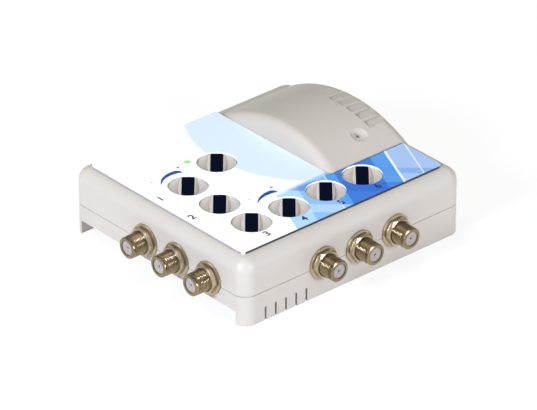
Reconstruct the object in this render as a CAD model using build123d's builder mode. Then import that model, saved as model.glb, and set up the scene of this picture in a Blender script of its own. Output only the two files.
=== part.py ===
from build123d import *
from math import asin, cos, radians, sin, tan
import os

os.makedirs("parts", exist_ok=True)

# Casing, measured from its left front corner and from the surface it stands on
case_length = 120.0
case_width = 107.6
seat_height = 30.1
parting_height = 13.7
corner_radius = 6.0
edge_radius = 6.0
wall = 2.0
floor_wall = 1.6
foot_height = 6.2
foot_depth = 5.1
foot_length = 8.0
shadow_gap_depth = 0.4
shadow_gap_height = 0.25
overrun = 1.0
fit_gap = 0.3

# Arched hump over the transformer, at the back right of the top cover
hump_left = 74.0
hump_front = 31.0
hump_rise = 9.1
hump_back = 8.0
hump_lean = 15.0
hump_blend = 5.0
fillet_margin = 0.1
lip_height = 26.4
lip_depth = 2.2
louvre_count = 5
louvre_length = 12.7
louvre_first_angle = 4.2
louvre_pitch_angle = 4.75
louvre_run_angle = 3.9
louvre_depth = 1.2
pocket_inset = 19.7
pocket_y = 42.2
pocket_radius = 4.1
pocket_depth = 1.1
pocket_hole_radius = 1.5
pocket_hole_depth = 1.1
pocket_hole_shift = 0.9
pocket_floor_wall = 1.4

# Ventilation slots in the front and back skirts and in the floor
slot_count = 5
slot_first = 11.6
slot_pitch = 5.5
slot_width = 1.0
floor_slot_count = 6
floor_slot_pitch = 6.0
floor_slot_length = 26.0
floor_slot_width = 2.2

# Coaxial sockets with a 3/8 inch thread
socket_pitch = 19.8
socket_first_x = 42.4
socket_first_y = 21.2
socket_height = 15.1
socket_reach = 10.4
socket_count = 3
antenna_x = 44.1
barrel_radius = 4.76
neck_radius = 4.55
neck_relief = 0.2
barrel_clearance = 0.24
barrel_chamfer = 0.5
shoulder_width = 10.4
shoulder_depth = 11.0
washer_radius = 7.2
washer_thickness = 1.2
nut_across_flats = 11.6
nut_thickness = 2.2
thread_clearance = 0.05
insulator_radius = 3.6
insulator_recess = 0.5
insulator_length = 9.0
contact_radius = 0.6
contact_recess = 0.8
contact_length = 15.0
contact_passage_radius = 1.2

# Label plate on the seat of the top cover
label_thickness = 0.8
label_left_margin = 4.8
label_front_margin = 6.0
label_right_margin = 5.6
label_back_margin = 5.0
label_corner = 3.0
label_hump_gap = 0.1

# Gain knobs
knob_column_x = 24.2
knob_column_first_y = 22.9
knob_column_pitch = 19.8
knob_row_first_x = 43.6
knob_row_y = 22.0
knob_row_pitch = 20.1
knob_count = 3
input_knob_x = 45.8
input_knob_y = 69.5
knob_hole_radius = 8.5
knob_clearance = 0.3
knob_flange_radius = 9.3
knob_flange_thickness = 2.2
dial_rise = 2.4
dish_depth = 1.2
dish_rim = 0.4
rib_reach = 7.4
rib_top_width = 5.8
rib_foot_width = 8.2
inlay_width = 5.3
inlay_thickness = 0.5
inlay_corner = 0.8
inlay_gap = 0.05
mark_radius = 0.45
mark_depth = 0.3
mark_offset = 4.4
hub_radius = 3.2
spindle_radius = 1.6
spindle_clearance = 0.08
spindle_end_gap = 0.6
rest_angle = 48.7

# Potentiometers under the knobs
pot_width = 10.0
pot_height = 6.5
pot_collar_radius = 3.0
pot_collar_height = 1.2
pot_corner = 0.8

# Circuit board
board_thickness = 1.6
board_wall_gap = 1.0
board_corner = 2.0
board_step_x = 72.0
board_ear_gap = 6.0
board_screw_left_x = 12.0
board_screw_left_y = 72.0
board_screw_front_x = 31.5
board_screw_front_y = 13.0
board_screw_right_inset = 9.0
board_screw_step_inset = 8.0
board_screw_middle_x = 68.5
board_screw_middle_y = 65.0

# Bosses and screws
boss_radius = 3.2
post_inset = 8.8
post_radius = 3.6
post_height = 12.0
tube_wall = 1.2
screw_radius = 1.5
screw_clearance = 0.2
pilot_clearance = 0.05
pilot_end_gap = 0.2
screw_head_radius = 2.7
screw_head_height = 2.0
screw_slot_width = 0.9
screw_slot_depth = 0.8
case_screw_length = 13.0
case_screw_grip = 2.8
board_screw_length = 4.4
bracket_screw_length = 6.0
board_boss_drop = 1.5

# Transformer, whose laminations are six units long, five deep, and have windows three units deep
core_units = 6
core_depth_units = 5
window_units = 3
transformer_board_gap = 4.0
transformer_wall_gap = 2.0
transformer_roof_gap = 3.8
transformer_shift = 2.8
coil_clearance = 0.3
bobbin_wall = 1.0
flange_count = 3
winding_inset = 0.6
winding_corner = 2.0
transformer_floor_gap = 0.6
bracket_thickness = 0.8
bracket_lip = 3.0
ear_length = 8.0
ear_width = 9.0

# Pieces on the circuit board
led_width = 3.0
led_height = 1.4
led_x = 36.7
led_y = 77.5
pipe_radius = 1.0
pipe_hole_radius = 1.3
pipe_collar_radius = 1.9
pipe_collar_height = 0.8
pipe_proud = 0.2
can_x = 50.0
can_y = 44.5
can_length = 34.0
can_width = 21.0
can_height = 9.0
can_wall = 0.4
chip_count = 3
chip_pitch = 10.0
chip_length = 5.0
chip_width = 4.0
chip_height = 1.6
ring_count = 3
ring_outer_radius = 3.0
ring_inner_radius = 1.4
ring_height = 3.2
ring_y = 71.2
ring_first_x = 19.0
ring_pitch = 6.5
capacitor_radius = 5.0
capacitor_height = 14.0
capacitor_x = 62.5
capacitor_y = 70.5
capacitor_bevel = 0.6
diode_count = 4
diode_pitch = 3.6
diode_radius = 1.3
diode_length = 5.2
diode_first_x = 53.0
diode_y = 60.0
lead_width = 0.7
lead_run = 1.4
regulator_width = 10.2
regulator_thickness = 4.4
regulator_height = 9.5
regulator_leg_length = 2.9
regulator_leg_pitch = 2.54
regulator_x = 25.0
tab_thickness = 1.3
tab_rise = 5.5
sink_thickness = 1.5
sink_width = 18.0
sink_height = 16.0
sink_fin_depth = 7.0
sink_wall_gap = 1.6
fuse_radius = 2.5
fuse_glass_radius = 2.3
fuse_cap_length = 5.0
fuse_length = 20.0
fuse_x = 54.6
clip_width = 4.0
clip_wall = 0.5
clip_base = 1.2
clip_clearance = 0.05
terminal_width = 12.0
terminal_depth = 8.0
terminal_height = 10.0
terminal_x = 64.5
terminal_edge_gap = 1.0
terminal_hole_radius = 1.6
terminal_hole_height = 3.5
terminal_screw_radius = 1.2
filter_count = 6
filter_pitch = 6.8
filter_radius = 2.0
filter_height = 5.0
filter_x = 33.0
filter_y = 30.3

# Gland where the mains lead enters
gland_x = 88.0
gland_bore_radius = 3.0
gland_body_radius = 4.6
gland_flange_radius = 6.2
gland_flange_thickness = 1.6
gland_reach = 4.0

# Places worked out from the sizes above
case_left = -(case_length - socket_reach) / 2
case_front = -case_width / 2
roof_height = seat_height - wall
floor_top = foot_height + floor_wall
board_top = socket_height - shoulder_width / 2
board_bottom = board_top - board_thickness
board_margin = wall + board_wall_gap
label_top = seat_height + label_thickness
arch_chord = case_width - hump_front - hump_back
arch_radius = (arch_chord ** 2 / 4 + hump_rise ** 2) / (2 * hump_rise)
arch_y = hump_front + arch_chord / 2
arch_z = seat_height + hump_rise - arch_radius
louvre_left = case_length - louvre_length
pocket_x = case_length - pocket_inset
pocket_angle = asin((pocket_y - arch_y) / arch_radius)
pocket_bowl = (pocket_radius ** 2 + pocket_depth ** 2) / (2 * pocket_depth)
pocket_reach = arch_radius - pocket_depth + pocket_bowl
pocket_hole_y = pocket_y + pocket_hole_shift
pocket_floor = arch_z + (arch_radius - pocket_depth) * cos(pocket_angle) - pocket_hole_depth
dial_radius = knob_hole_radius - knob_clearance
knob_top = roof_height - fit_gap
knob_bottom = knob_top - knob_flange_thickness
dial_top = knob_top + dial_rise
rib_height = inlay_thickness
dish_radius = dial_radius - dish_rim
dish_bowl = (dish_radius ** 2 + dish_depth ** 2) / (2 * dish_depth)
pot_top = board_top + pot_height + pot_collar_height
barrel_hole_radius = barrel_radius + barrel_clearance
neck_end = washer_thickness + nut_thickness + neck_relief
pilot_radius = screw_radius + pilot_clearance
screw_hole_radius = screw_radius + screw_clearance
screw_head_hole_radius = screw_head_radius + screw_clearance
tube_radius = screw_head_hole_radius + tube_wall
screw_seat = post_height - case_screw_grip
core_length = (
    case_length - wall - transformer_wall_gap - 2 * bracket_thickness
    - board_step_x - transformer_board_gap
)
lamination_unit = core_length / core_units
core_depth = core_depth_units * lamination_unit
window_depth = window_units * lamination_unit
middle_leg = 2 * lamination_unit
coil_thickness = lamination_unit - coil_clearance
coil_width = middle_leg + 2 * coil_thickness
coil_bottom = floor_top + transformer_floor_gap
coil_height = seat_height + hump_rise - wall - transformer_roof_gap - coil_bottom
stack_height = coil_height - 2 * coil_thickness
bobbin_length = window_depth - 2 * coil_clearance
bobbin_width = middle_leg + 2 * (coil_clearance + bobbin_wall)
bobbin_height = stack_height + 2 * (coil_clearance + bobbin_wall)
transformer_x = case_length - wall - transformer_wall_gap - bracket_thickness - core_length / 2
transformer_y = arch_y - transformer_shift
transformer_z = coil_bottom + coil_height / 2
core_bottom = transformer_z - stack_height / 2
bracket_bottom = core_bottom - bracket_thickness
ear_offset = core_depth / 2 + bracket_thickness + ear_length / 2
board_step_y = transformer_y - ear_offset - boss_radius - board_ear_gap
winding_length = (bobbin_length - flange_count * bobbin_wall) / (flange_count - 1)
led_top = board_top + led_height
regulator_y = case_width - wall - sink_wall_gap - sink_fin_depth - regulator_thickness / 2
terminal_y = case_width - board_margin - terminal_edge_gap - terminal_depth / 2
fuse_y = case_width - board_margin - terminal_edge_gap - fuse_length / 2


def level(height):
    """A level plane whose origin is over the left front corner of the casing."""
    return Plane(origin=(case_left, case_front, height))


def over(x, y, height):
    """A level plane whose origin is over one place of the casing."""
    return Plane(origin=(case_left + x, case_front + y, height))


def side_view(x):
    """A plane that looks along X, with its own X along Y and its own Y upwards."""
    return Plane(
        origin=(case_left + x, case_front, 0), x_dir=(0, 1, 0), z_dir=(1, 0, 0)
    )


def front_face(x):
    """The plane of the front wall, looking outwards, centred on a socket."""
    return Plane(
        origin=(case_left + x, case_front, socket_height),
        x_dir=(1, 0, 0), z_dir=(0, -1, 0),
    )


def back_face(x):
    """The plane of the back wall, looking outwards, centred on a socket."""
    return Plane(
        origin=(case_left + x, case_front + case_width, socket_height),
        x_dir=(-1, 0, 0), z_dir=(0, 1, 0),
    )


def front_view():
    """A plane that looks from the front, with its own X along X and its own Y upwards."""
    return Plane(origin=(case_left, case_front, 0), x_dir=(1, 0, 0), z_dir=(0, -1, 0))


def left_face(y):
    """The plane of the left wall, looking outwards, centred on a socket."""
    return Plane(
        origin=(case_left, case_front + y, socket_height),
        x_dir=(0, -1, 0), z_dir=(-1, 0, 0),
    )


# Where the sockets, knobs and screws stand
front_sockets = [front_face(socket_first_x + i * socket_pitch) for i in range(socket_count)]
left_sockets = [left_face(socket_first_y + i * socket_pitch) for i in range(socket_count)]
antenna_socket = back_face(antenna_x)
gland_face = back_face(gland_x)
all_sockets = left_sockets[::-1] + front_sockets + [antenna_socket]
left_knobs = [
    (knob_column_x, knob_column_first_y + i * knob_column_pitch) for i in range(knob_count)
]
front_knobs = [(knob_row_first_x + i * knob_row_pitch, knob_row_y) for i in range(knob_count)]
output_knobs = left_knobs[::-1] + front_knobs
knob_places = output_knobs + [(input_knob_x, input_knob_y)]
post_places = [
    (x, y)
    for x in (post_inset, case_length - post_inset)
    for y in (post_inset, case_width - post_inset)
]
board_screw_places = [
    (board_screw_left_x, board_screw_left_y),
    (board_screw_front_x, board_screw_front_y),
    (case_length - board_screw_right_inset, board_step_y - board_screw_step_inset),
    (board_screw_middle_x, board_screw_middle_y),
]
ear_places = [(transformer_x, transformer_y + side * ear_offset) for side in (-1, 1)]


def cover_form(inset):
    """The closed form of the top cover: a flat seat with an arch at its back right."""
    seat = seat_height - inset
    crown = seat_height + hump_rise
    start = hump_left + inset
    end = case_length - inset
    lean = hump_rise * tan(radians(hump_lean))
    with BuildPart() as arch:
        with BuildSketch(side_view(0)):
            with Locations((arch_y, arch_z)):
                Circle(arch_radius - inset)
            with Locations((hump_front, 0)):
                Rectangle(
                    case_width - inset - hump_front, crown,
                    align=(Align.MIN, Align.MIN), mode=Mode.INTERSECT,
                )
        extrude(amount=case_length)
        with BuildSketch(front_view()):
            Polygon(
                (start, 0), (end, 0), (end, crown), (start + lean, crown), (start, seat_height),
                align=None,
            )
        extrude(amount=-case_width, mode=Mode.INTERSECT)
        rounding = edge_radius - inset - fillet_margin
        fillet(arch.edges().filter_by(GeomType.CIRCLE).sort_by(Axis.X)[-1], rounding)
        fillet(arch.edges().filter_by(GeomType.ELLIPSE).sort_by(Axis.Z)[-1], hump_blend)
        with BuildSketch(level(0)):
            with Locations((case_length / 2, case_width / 2)):
                RectangleRounded(
                    case_length - 2 * inset, case_width - 2 * inset, corner_radius - inset
                )
        extrude(amount=crown + overrun, mode=Mode.INTERSECT)
    with BuildPart() as form:
        with BuildSketch(level(0)):
            with Locations((case_length / 2, case_width / 2)):
                RectangleRounded(
                    case_length - 2 * inset, case_width - 2 * inset, corner_radius - inset
                )
        extrude(amount=seat)
        fillet(form.faces().sort_by(Axis.Z)[-1].edges(), rounding)
        with BuildSketch(level(0)):
            with Locations((start, arch_y)):
                Rectangle(case_length, case_width, align=(Align.MIN, Align.MIN))
        extrude(amount=crown, mode=Mode.SUBTRACT)
        add(arch.part)
    return form.part


def arch_point(angle, depth):
    """A point under the arch's surface, in the side view, at an angle from its crown."""
    reach = arch_radius - depth
    return (arch_y + reach * sin(radians(angle)), arch_z + reach * cos(radians(angle)))


# Top cover: a shell with the arch, louvres, dished pocket, knob holes and screw posts
outer_form = cover_form(0)
with BuildPart() as cover_ribs:
    with BuildSketch(level(post_height)):
        with Locations(*post_places):
            Circle(post_radius)
    extrude(amount=seat_height)
    with BuildSketch(over(pocket_x, pocket_y, pocket_floor - pocket_floor_wall)):
        Circle(pocket_radius + wall)
    extrude(amount=hump_rise)
    add(outer_form, mode=Mode.INTERSECT)

with BuildPart() as top_cover:
    add(outer_form)
    with BuildSketch(level(lip_height)):
        with Locations((hump_left, case_width - lip_depth)):
            Rectangle(case_length - wall - hump_left, lip_depth, align=(Align.MIN, Align.MIN))
        with Locations((case_length / 2, case_width / 2)):
            RectangleRounded(case_length, case_width, corner_radius, mode=Mode.INTERSECT)
    extrude(amount=-(lip_height - parting_height))
    add(cover_form(wall), mode=Mode.SUBTRACT)
    with BuildSketch(level(0)):
        with Locations((case_length / 2, case_width / 2)):
            Rectangle(2 * case_length, 2 * case_width)
    extrude(amount=parting_height, mode=Mode.SUBTRACT)
    add(cover_ribs.part)
    with BuildSketch(level(post_height)):
        with Locations(*post_places):
            Circle(pilot_radius)
    extrude(amount=case_screw_length - case_screw_grip + pilot_end_gap, mode=Mode.SUBTRACT)
    with Locations((
        case_left + pocket_x,
        case_front + arch_y + pocket_reach * sin(pocket_angle),
        arch_z + pocket_reach * cos(pocket_angle),
    )):
        Sphere(pocket_bowl, mode=Mode.SUBTRACT)
    with BuildSketch(over(pocket_x, pocket_hole_y, pocket_floor)):
        Circle(pocket_hole_radius)
    extrude(amount=hump_rise, mode=Mode.SUBTRACT)
    with BuildSketch(side_view(louvre_left)):
        for i in range(louvre_count):
            angle = louvre_first_angle - i * louvre_pitch_angle
            Polygon(
                arch_point(angle, -overrun),
                arch_point(angle, louvre_depth),
                arch_point(angle - louvre_run_angle, 0),
                arch_point(angle - louvre_run_angle, -overrun),
                align=None,
            )
    extrude(amount=case_length - louvre_left + overrun, mode=Mode.SUBTRACT)
    with BuildSketch(level(roof_height - overrun)):
        with Locations(*knob_places):
            Circle(knob_hole_radius)
        with Locations((led_x, led_y)):
            Circle(pipe_hole_radius)
    extrude(amount=wall + 2 * overrun, mode=Mode.SUBTRACT)
    for face in all_sockets:
        with BuildSketch(face.offset(overrun)):
            Circle(barrel_hole_radius)
        extrude(amount=-(wall + 2 * overrun), mode=Mode.SUBTRACT)
    with BuildSketch(gland_face.offset(overrun)):
        Circle(gland_body_radius)
    extrude(amount=-(wall + 2 * overrun), mode=Mode.SUBTRACT)
top_cover.part.label = "top_cover"
export_step(top_cover.part, "parts/top_cover.step")

# Bottom cover: floor, skirts that the box stands on, bosses and ventilation slots
with BuildPart() as bottom_cover:
    with BuildSketch(level(0)):
        with Locations((case_length / 2, case_width / 2)):
            RectangleRounded(case_length, case_width, corner_radius)
    extrude(amount=parting_height)
    with BuildSketch(level(floor_top)):
        with Locations((case_length / 2, case_width / 2)):
            RectangleRounded(case_length - 2 * wall, case_width - 2 * wall, corner_radius - wall)
    extrude(amount=parting_height, mode=Mode.SUBTRACT)
    with BuildSketch(level(0)):
        with Locations((case_length / 2, case_width / 2)):
            RectangleRounded(case_length - 2 * wall, case_width - 2 * wall, corner_radius - wall)
    extrude(amount=foot_height, mode=Mode.SUBTRACT)
    with BuildSketch(level(0)):
        with Locations((case_length / 2, case_width / 2)):
            RectangleRounded(case_length, case_width, corner_radius)
            Rectangle(case_length - 2 * foot_length, case_width, mode=Mode.SUBTRACT)
    extrude(amount=foot_height)
    with BuildSketch(over(case_length / 2, case_width / 2, 0)):
        Rectangle(2 * case_length, case_width - 2 * foot_depth)
    extrude(amount=foot_height, mode=Mode.SUBTRACT)
    with BuildSketch(level(parting_height)):
        with Locations((case_length / 2, case_width / 2)):
            RectangleRounded(case_length, case_width, corner_radius)
            RectangleRounded(
                case_length - 2 * shadow_gap_depth, case_width - 2 * shadow_gap_depth,
                corner_radius - shadow_gap_depth, mode=Mode.SUBTRACT,
            )
    extrude(amount=-shadow_gap_height, mode=Mode.SUBTRACT)
    with BuildSketch(level(foot_height)):
        with Locations(*post_places):
            Circle(tube_radius)
    extrude(amount=post_height - foot_height)
    with BuildSketch(level(foot_height - board_boss_drop)):
        with Locations(*board_screw_places):
            Circle(boss_radius)
    extrude(amount=board_bottom - foot_height + board_boss_drop)
    with BuildSketch(level(foot_height)):
        with Locations(*ear_places):
            Circle(boss_radius)
    extrude(amount=bracket_bottom - foot_height)
    with BuildSketch(level(0)):
        with Locations(*post_places):
            Circle(screw_head_hole_radius)
    extrude(amount=screw_seat, mode=Mode.SUBTRACT)
    with BuildSketch(level(0)):
        with Locations(*post_places):
            Circle(screw_hole_radius)
    extrude(amount=post_height, mode=Mode.SUBTRACT)
    with BuildSketch(level(board_bottom)):
        with Locations(*board_screw_places):
            Circle(pilot_radius)
    extrude(amount=-(board_screw_length - board_thickness + pilot_end_gap), mode=Mode.SUBTRACT)
    with BuildSketch(level(bracket_bottom)):
        with Locations(*ear_places):
            Circle(pilot_radius)
    extrude(amount=-(bracket_screw_length - bracket_thickness + pilot_end_gap), mode=Mode.SUBTRACT)
    with BuildSketch(level(0)):
        for i in range(slot_count):
            with Locations((slot_first + i * slot_pitch, case_width / 2)):
                Rectangle(slot_width, 2 * case_width)
    extrude(amount=foot_height, mode=Mode.SUBTRACT)
    with BuildSketch(over(transformer_x, transformer_y, foot_height)):
        with GridLocations(floor_slot_pitch, floor_slot_length, floor_slot_count, 1):
            SlotOverall(floor_slot_length, floor_slot_width, rotation=90)
    extrude(amount=floor_wall, mode=Mode.SUBTRACT)
    for face in all_sockets:
        with BuildSketch(face.offset(overrun)):
            Circle(barrel_hole_radius)
        extrude(amount=-(wall + 2 * overrun), mode=Mode.SUBTRACT)
    with BuildSketch(gland_face.offset(overrun)):
        Circle(gland_body_radius)
    extrude(amount=-(wall + 2 * overrun), mode=Mode.SUBTRACT)
bottom_cover.part.label = "bottom_cover"
export_step(bottom_cover.part, "parts/bottom_cover.step")

# Label plate, which goes round the hump
with BuildPart() as label:
    with BuildSketch(level(seat_height)):
        with Locations((label_left_margin, label_front_margin)):
            RectangleRounded(
                case_length - label_left_margin - label_right_margin,
                case_width - label_front_margin - label_back_margin,
                label_corner, align=(Align.MIN, Align.MIN),
            )
        with Locations((hump_left - label_hump_gap, hump_front - label_hump_gap)):
            Rectangle(case_length, case_width, align=(Align.MIN, Align.MIN), mode=Mode.SUBTRACT)
        with Locations(*knob_places):
            Circle(knob_hole_radius, mode=Mode.SUBTRACT)
        with Locations((led_x, led_y)):
            Circle(pipe_hole_radius, mode=Mode.SUBTRACT)
    extrude(amount=label_thickness)
label.part.label = "label"
export_step(label.part, "parts/label.step")

# Circuit board, threaded over the screw tubes
with BuildPart() as circuit_board:
    with BuildSketch(level(board_bottom)) as outline:
        with Locations((board_margin, board_margin)):
            Rectangle(
                case_length - 2 * board_margin, board_step_y - board_margin,
                align=(Align.MIN, Align.MIN),
            )
            Rectangle(
                board_step_x - board_margin, case_width - 2 * board_margin,
                align=(Align.MIN, Align.MIN),
            )
        fillet(outline.vertices(), board_corner)
        with Locations(*post_places):
            Circle(tube_radius + fit_gap, mode=Mode.SUBTRACT)
        with Locations(*board_screw_places):
            Circle(screw_hole_radius, mode=Mode.SUBTRACT)
    extrude(amount=board_thickness)
circuit_board.part.label = "circuit_board"
export_step(circuit_board.part, "parts/circuit_board.step")


def make_connector(face):
    """A coaxial socket: square shoulder behind the wall, neck through it and barrel in front."""
    outwards = Axis(face.origin, face.z_dir)
    with BuildPart() as connector:
        with BuildSketch(face.offset(-wall)):
            Rectangle(shoulder_width, shoulder_width)
        extrude(amount=-shoulder_depth)
        with BuildSketch(face.offset(-wall)):
            Circle(neck_radius)
        extrude(amount=wall + neck_end)
        with BuildSketch(face.offset(neck_end)):
            Circle(barrel_radius)
        extrude(amount=socket_reach - neck_end)
        chamfer(connector.edges().sort_by(outwards)[-1], barrel_chamfer)
        with BuildSketch(face.offset(socket_reach)):
            Circle(insulator_radius + thread_clearance)
        extrude(amount=-(insulator_recess + insulator_length), mode=Mode.SUBTRACT)
        with BuildSketch(face.offset(socket_reach)):
            Circle(contact_passage_radius)
        extrude(amount=-(socket_reach + wall + shoulder_depth), mode=Mode.SUBTRACT)
    return connector.part


# Coaxial sockets, three on the left, three in front and the antenna socket at the back
socket_names = [f"tv_connector_{i + 1}" for i in range(2 * socket_count)] + ["antenna_connector"]
for name, face in zip(socket_names, all_sockets):
    socket = make_connector(face)
    socket.label = name
    export_step(socket, f"parts/{name}.step")

# What each socket carries: insulator, contact, washer and nut, one group of each
with BuildPart() as connector_insulators:
    for face in all_sockets:
        with BuildSketch(face.offset(socket_reach - insulator_recess)):
            Circle(insulator_radius)
            Circle(contact_radius + thread_clearance, mode=Mode.SUBTRACT)
        extrude(amount=-insulator_length)
connector_insulators.part.label = "connector_insulators"
export_step(connector_insulators.part, "parts/connector_insulators.step")

with BuildPart() as connector_contacts:
    for face in all_sockets:
        with BuildSketch(face.offset(socket_reach - insulator_recess - contact_recess)):
            Circle(contact_radius)
        extrude(amount=-contact_length)
connector_contacts.part.label = "connector_contacts"
export_step(connector_contacts.part, "parts/connector_contacts.step")

with BuildPart() as connector_washers:
    for face in all_sockets:
        with BuildSketch(face):
            Circle(washer_radius)
            Circle(barrel_hole_radius, mode=Mode.SUBTRACT)
        extrude(amount=washer_thickness)
connector_washers.part.label = "connector_washers"
export_step(connector_washers.part, "parts/connector_washers.step")

with BuildPart() as connector_nuts:
    for face in all_sockets:
        with BuildSketch(face.offset(washer_thickness)):
            RegularPolygon(nut_across_flats / 2, 6, major_radius=False)
            Circle(neck_radius + thread_clearance, mode=Mode.SUBTRACT)
        extrude(amount=nut_thickness)
connector_nuts.part.label = "connector_nuts"
export_step(connector_nuts.part, "parts/connector_nuts.step")


def rib_section(x, y):
    """The plane across a dial's bar, which looks along the bar from the dial's centre."""
    across, along = -sin(radians(rest_angle)), cos(radians(rest_angle))
    return Plane(
        origin=(case_left + x, case_front + y, dial_top),
        x_dir=(across, along, 0), z_dir=(along, -across, 0),
    )


def along_bar(x, y):
    """The level plane on top of a dial's bar, with its own X along the bar."""
    along, across = cos(radians(rest_angle)), sin(radians(rest_angle))
    return Plane(
        origin=(case_left + x, case_front + y, dial_top + rib_height),
        x_dir=(along, across, 0), z_dir=(0, 0, 1),
    )


def make_knob(x, y):
    """A gain knob: flange under the cover, dished dial with a bar across it, hub and spindle."""
    with BuildPart() as bar:
        with BuildSketch(rib_section(x, y)):
            Polygon(
                (-rib_foot_width / 2, -dish_depth), (rib_foot_width / 2, -dish_depth),
                (rib_top_width / 2, rib_height), (-rib_top_width / 2, rib_height),
                align=None,
            )
            with Locations((0, rib_height)):
                Rectangle(
                    inlay_width + 2 * inlay_gap, inlay_thickness,
                    align=(Align.CENTER, Align.MAX), mode=Mode.SUBTRACT,
                )
        extrude(amount=rib_reach, both=True)
        with BuildSketch(over(x, y, dial_top - dish_depth)):
            Circle(dial_radius)
        extrude(amount=dish_depth + rib_height, mode=Mode.INTERSECT)
    with BuildPart() as knob:
        with BuildSketch(over(x, y, knob_bottom)):
            Circle(knob_flange_radius)
        extrude(amount=knob_flange_thickness)
        with BuildSketch(over(x, y, knob_top)):
            Circle(dial_radius)
        extrude(amount=dial_rise)
        with Locations((case_left + x, case_front + y, dial_top - dish_depth + dish_bowl)):
            Sphere(dish_bowl, mode=Mode.SUBTRACT)
        with BuildSketch(over(x, y, pot_top + fit_gap)):
            Circle(hub_radius)
        extrude(amount=knob_bottom - pot_top - fit_gap)
        with BuildSketch(over(x, y, board_top + spindle_end_gap)):
            Circle(spindle_radius)
        extrude(amount=knob_bottom - board_top - spindle_end_gap)
        add(bar.part)
    return knob.part


def make_pointer(x, y):
    """The dark inlay on top of a knob's bar, with a small mark near its far end."""
    with BuildPart() as pointer:
        with BuildSketch(along_bar(x, y)):
            RectangleRounded(2 * rib_reach, inlay_width, inlay_corner)
        extrude(amount=-inlay_thickness)
        with BuildSketch(along_bar(x, y)):
            with Locations((mark_offset, 0)):
                Circle(mark_radius)
        extrude(amount=-mark_depth, mode=Mode.SUBTRACT)
    return pointer.part


def make_potentiometer(x, y):
    """A rotary potentiometer that stands on the board and takes a knob's spindle."""
    with BuildPart() as pot:
        with BuildSketch(over(x, y, board_top)):
            RectangleRounded(pot_width, pot_width, pot_corner)
        extrude(amount=pot_height)
        with BuildSketch(over(x, y, board_top + pot_height)):
            Circle(pot_collar_radius)
        extrude(amount=pot_collar_height)
        with BuildSketch(over(x, y, board_top)):
            Circle(spindle_radius + spindle_clearance)
        extrude(amount=pot_height + pot_collar_height, mode=Mode.SUBTRACT)
    return pot.part


# Gain knobs, their dark inlays and the potentiometers under them
for i, place in enumerate(knob_places):
    ending = f"_{i + 1}" if i < len(output_knobs) else ""
    prefix = "output" if i < len(output_knobs) else "input"
    knob = make_knob(*place)
    knob.label = f"{prefix}_knob{ending}"
    export_step(knob, f"parts/{knob.label}.step")
    pointer = make_pointer(*place)
    pointer.label = f"{prefix}_pointer{ending}"
    export_step(pointer, f"parts/{pointer.label}.step")
    pot = make_potentiometer(*place)
    pot.label = f"{prefix}_potentiometer{ending}"
    export_step(pot, f"parts/{pot.label}.step")

# Power light: a light emitting diode on the board and a clear pipe up to the label
with BuildPart() as led:
    with BuildSketch(over(led_x, led_y, board_top)):
        Rectangle(led_width, led_width)
    extrude(amount=led_height)
led.part.label = "led"
export_step(led.part, "parts/led.step")

with BuildPart() as light_pipe:
    with BuildSketch(over(led_x, led_y, led_top + fit_gap)):
        Circle(pipe_radius)
    extrude(amount=label_top + pipe_proud - led_top - fit_gap)
    with BuildSketch(over(led_x, led_y, roof_height)):
        Circle(pipe_collar_radius)
    extrude(amount=-pipe_collar_height)
light_pipe.part.label = "light_pipe"
export_step(light_pipe.part, "parts/light_pipe.step")

# Transformer core: a block of laminations with two windows beside its middle leg
with BuildPart() as transformer_core:
    with BuildSketch(over(transformer_x, transformer_y, core_bottom)):
        Rectangle(core_length, core_depth)
        with GridLocations(middle_leg + lamination_unit, lamination_unit, 2, 1):
            Rectangle(lamination_unit, window_depth, mode=Mode.SUBTRACT)
    extrude(amount=stack_height)
transformer_core.part.label = "transformer_core"
export_step(transformer_core.part, "parts/transformer_core.step")


def coil_section(offset):
    """The plane across the transformer's middle leg, counted from the bobbin's front end."""
    return Plane(
        origin=(
            case_left + transformer_x,
            case_front + transformer_y - bobbin_length / 2 + offset,
            transformer_z,
        ),
        x_dir=(1, 0, 0), z_dir=(0, 1, 0),
    )


# Bobbin: a square-cornered tube on the middle leg with three flanges
with BuildPart() as transformer_bobbin:
    with BuildSketch(coil_section(0)):
        Rectangle(bobbin_width, bobbin_height)
    extrude(amount=bobbin_length)
    for i in range(flange_count):
        with BuildSketch(coil_section(i * (bobbin_wall + winding_length))):
            Rectangle(coil_width, coil_height)
        extrude(amount=bobbin_wall)
    with BuildSketch(coil_section(0)):
        Rectangle(bobbin_width - 2 * bobbin_wall, bobbin_height - 2 * bobbin_wall)
    extrude(amount=bobbin_length, mode=Mode.SUBTRACT)
transformer_bobbin.part.label = "transformer_bobbin"
export_step(transformer_bobbin.part, "parts/transformer_bobbin.step")


def make_winding(offset):
    """A closed ring of wound wire between two flanges of the bobbin."""
    with BuildPart() as winding:
        with BuildSketch(coil_section(offset)):
            RectangleRounded(
                coil_width - 2 * winding_inset, coil_height - 2 * winding_inset, winding_corner
            )
            Rectangle(bobbin_width, bobbin_height, mode=Mode.SUBTRACT)
        extrude(amount=winding_length)
    return winding.part


primary_winding = make_winding(bobbin_wall)
primary_winding.label = "primary_winding"
export_step(primary_winding, "parts/primary_winding.step")
secondary_winding = make_winding(2 * bobbin_wall + winding_length)
secondary_winding.label = "secondary_winding"
export_step(secondary_winding, "parts/secondary_winding.step")

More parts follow.
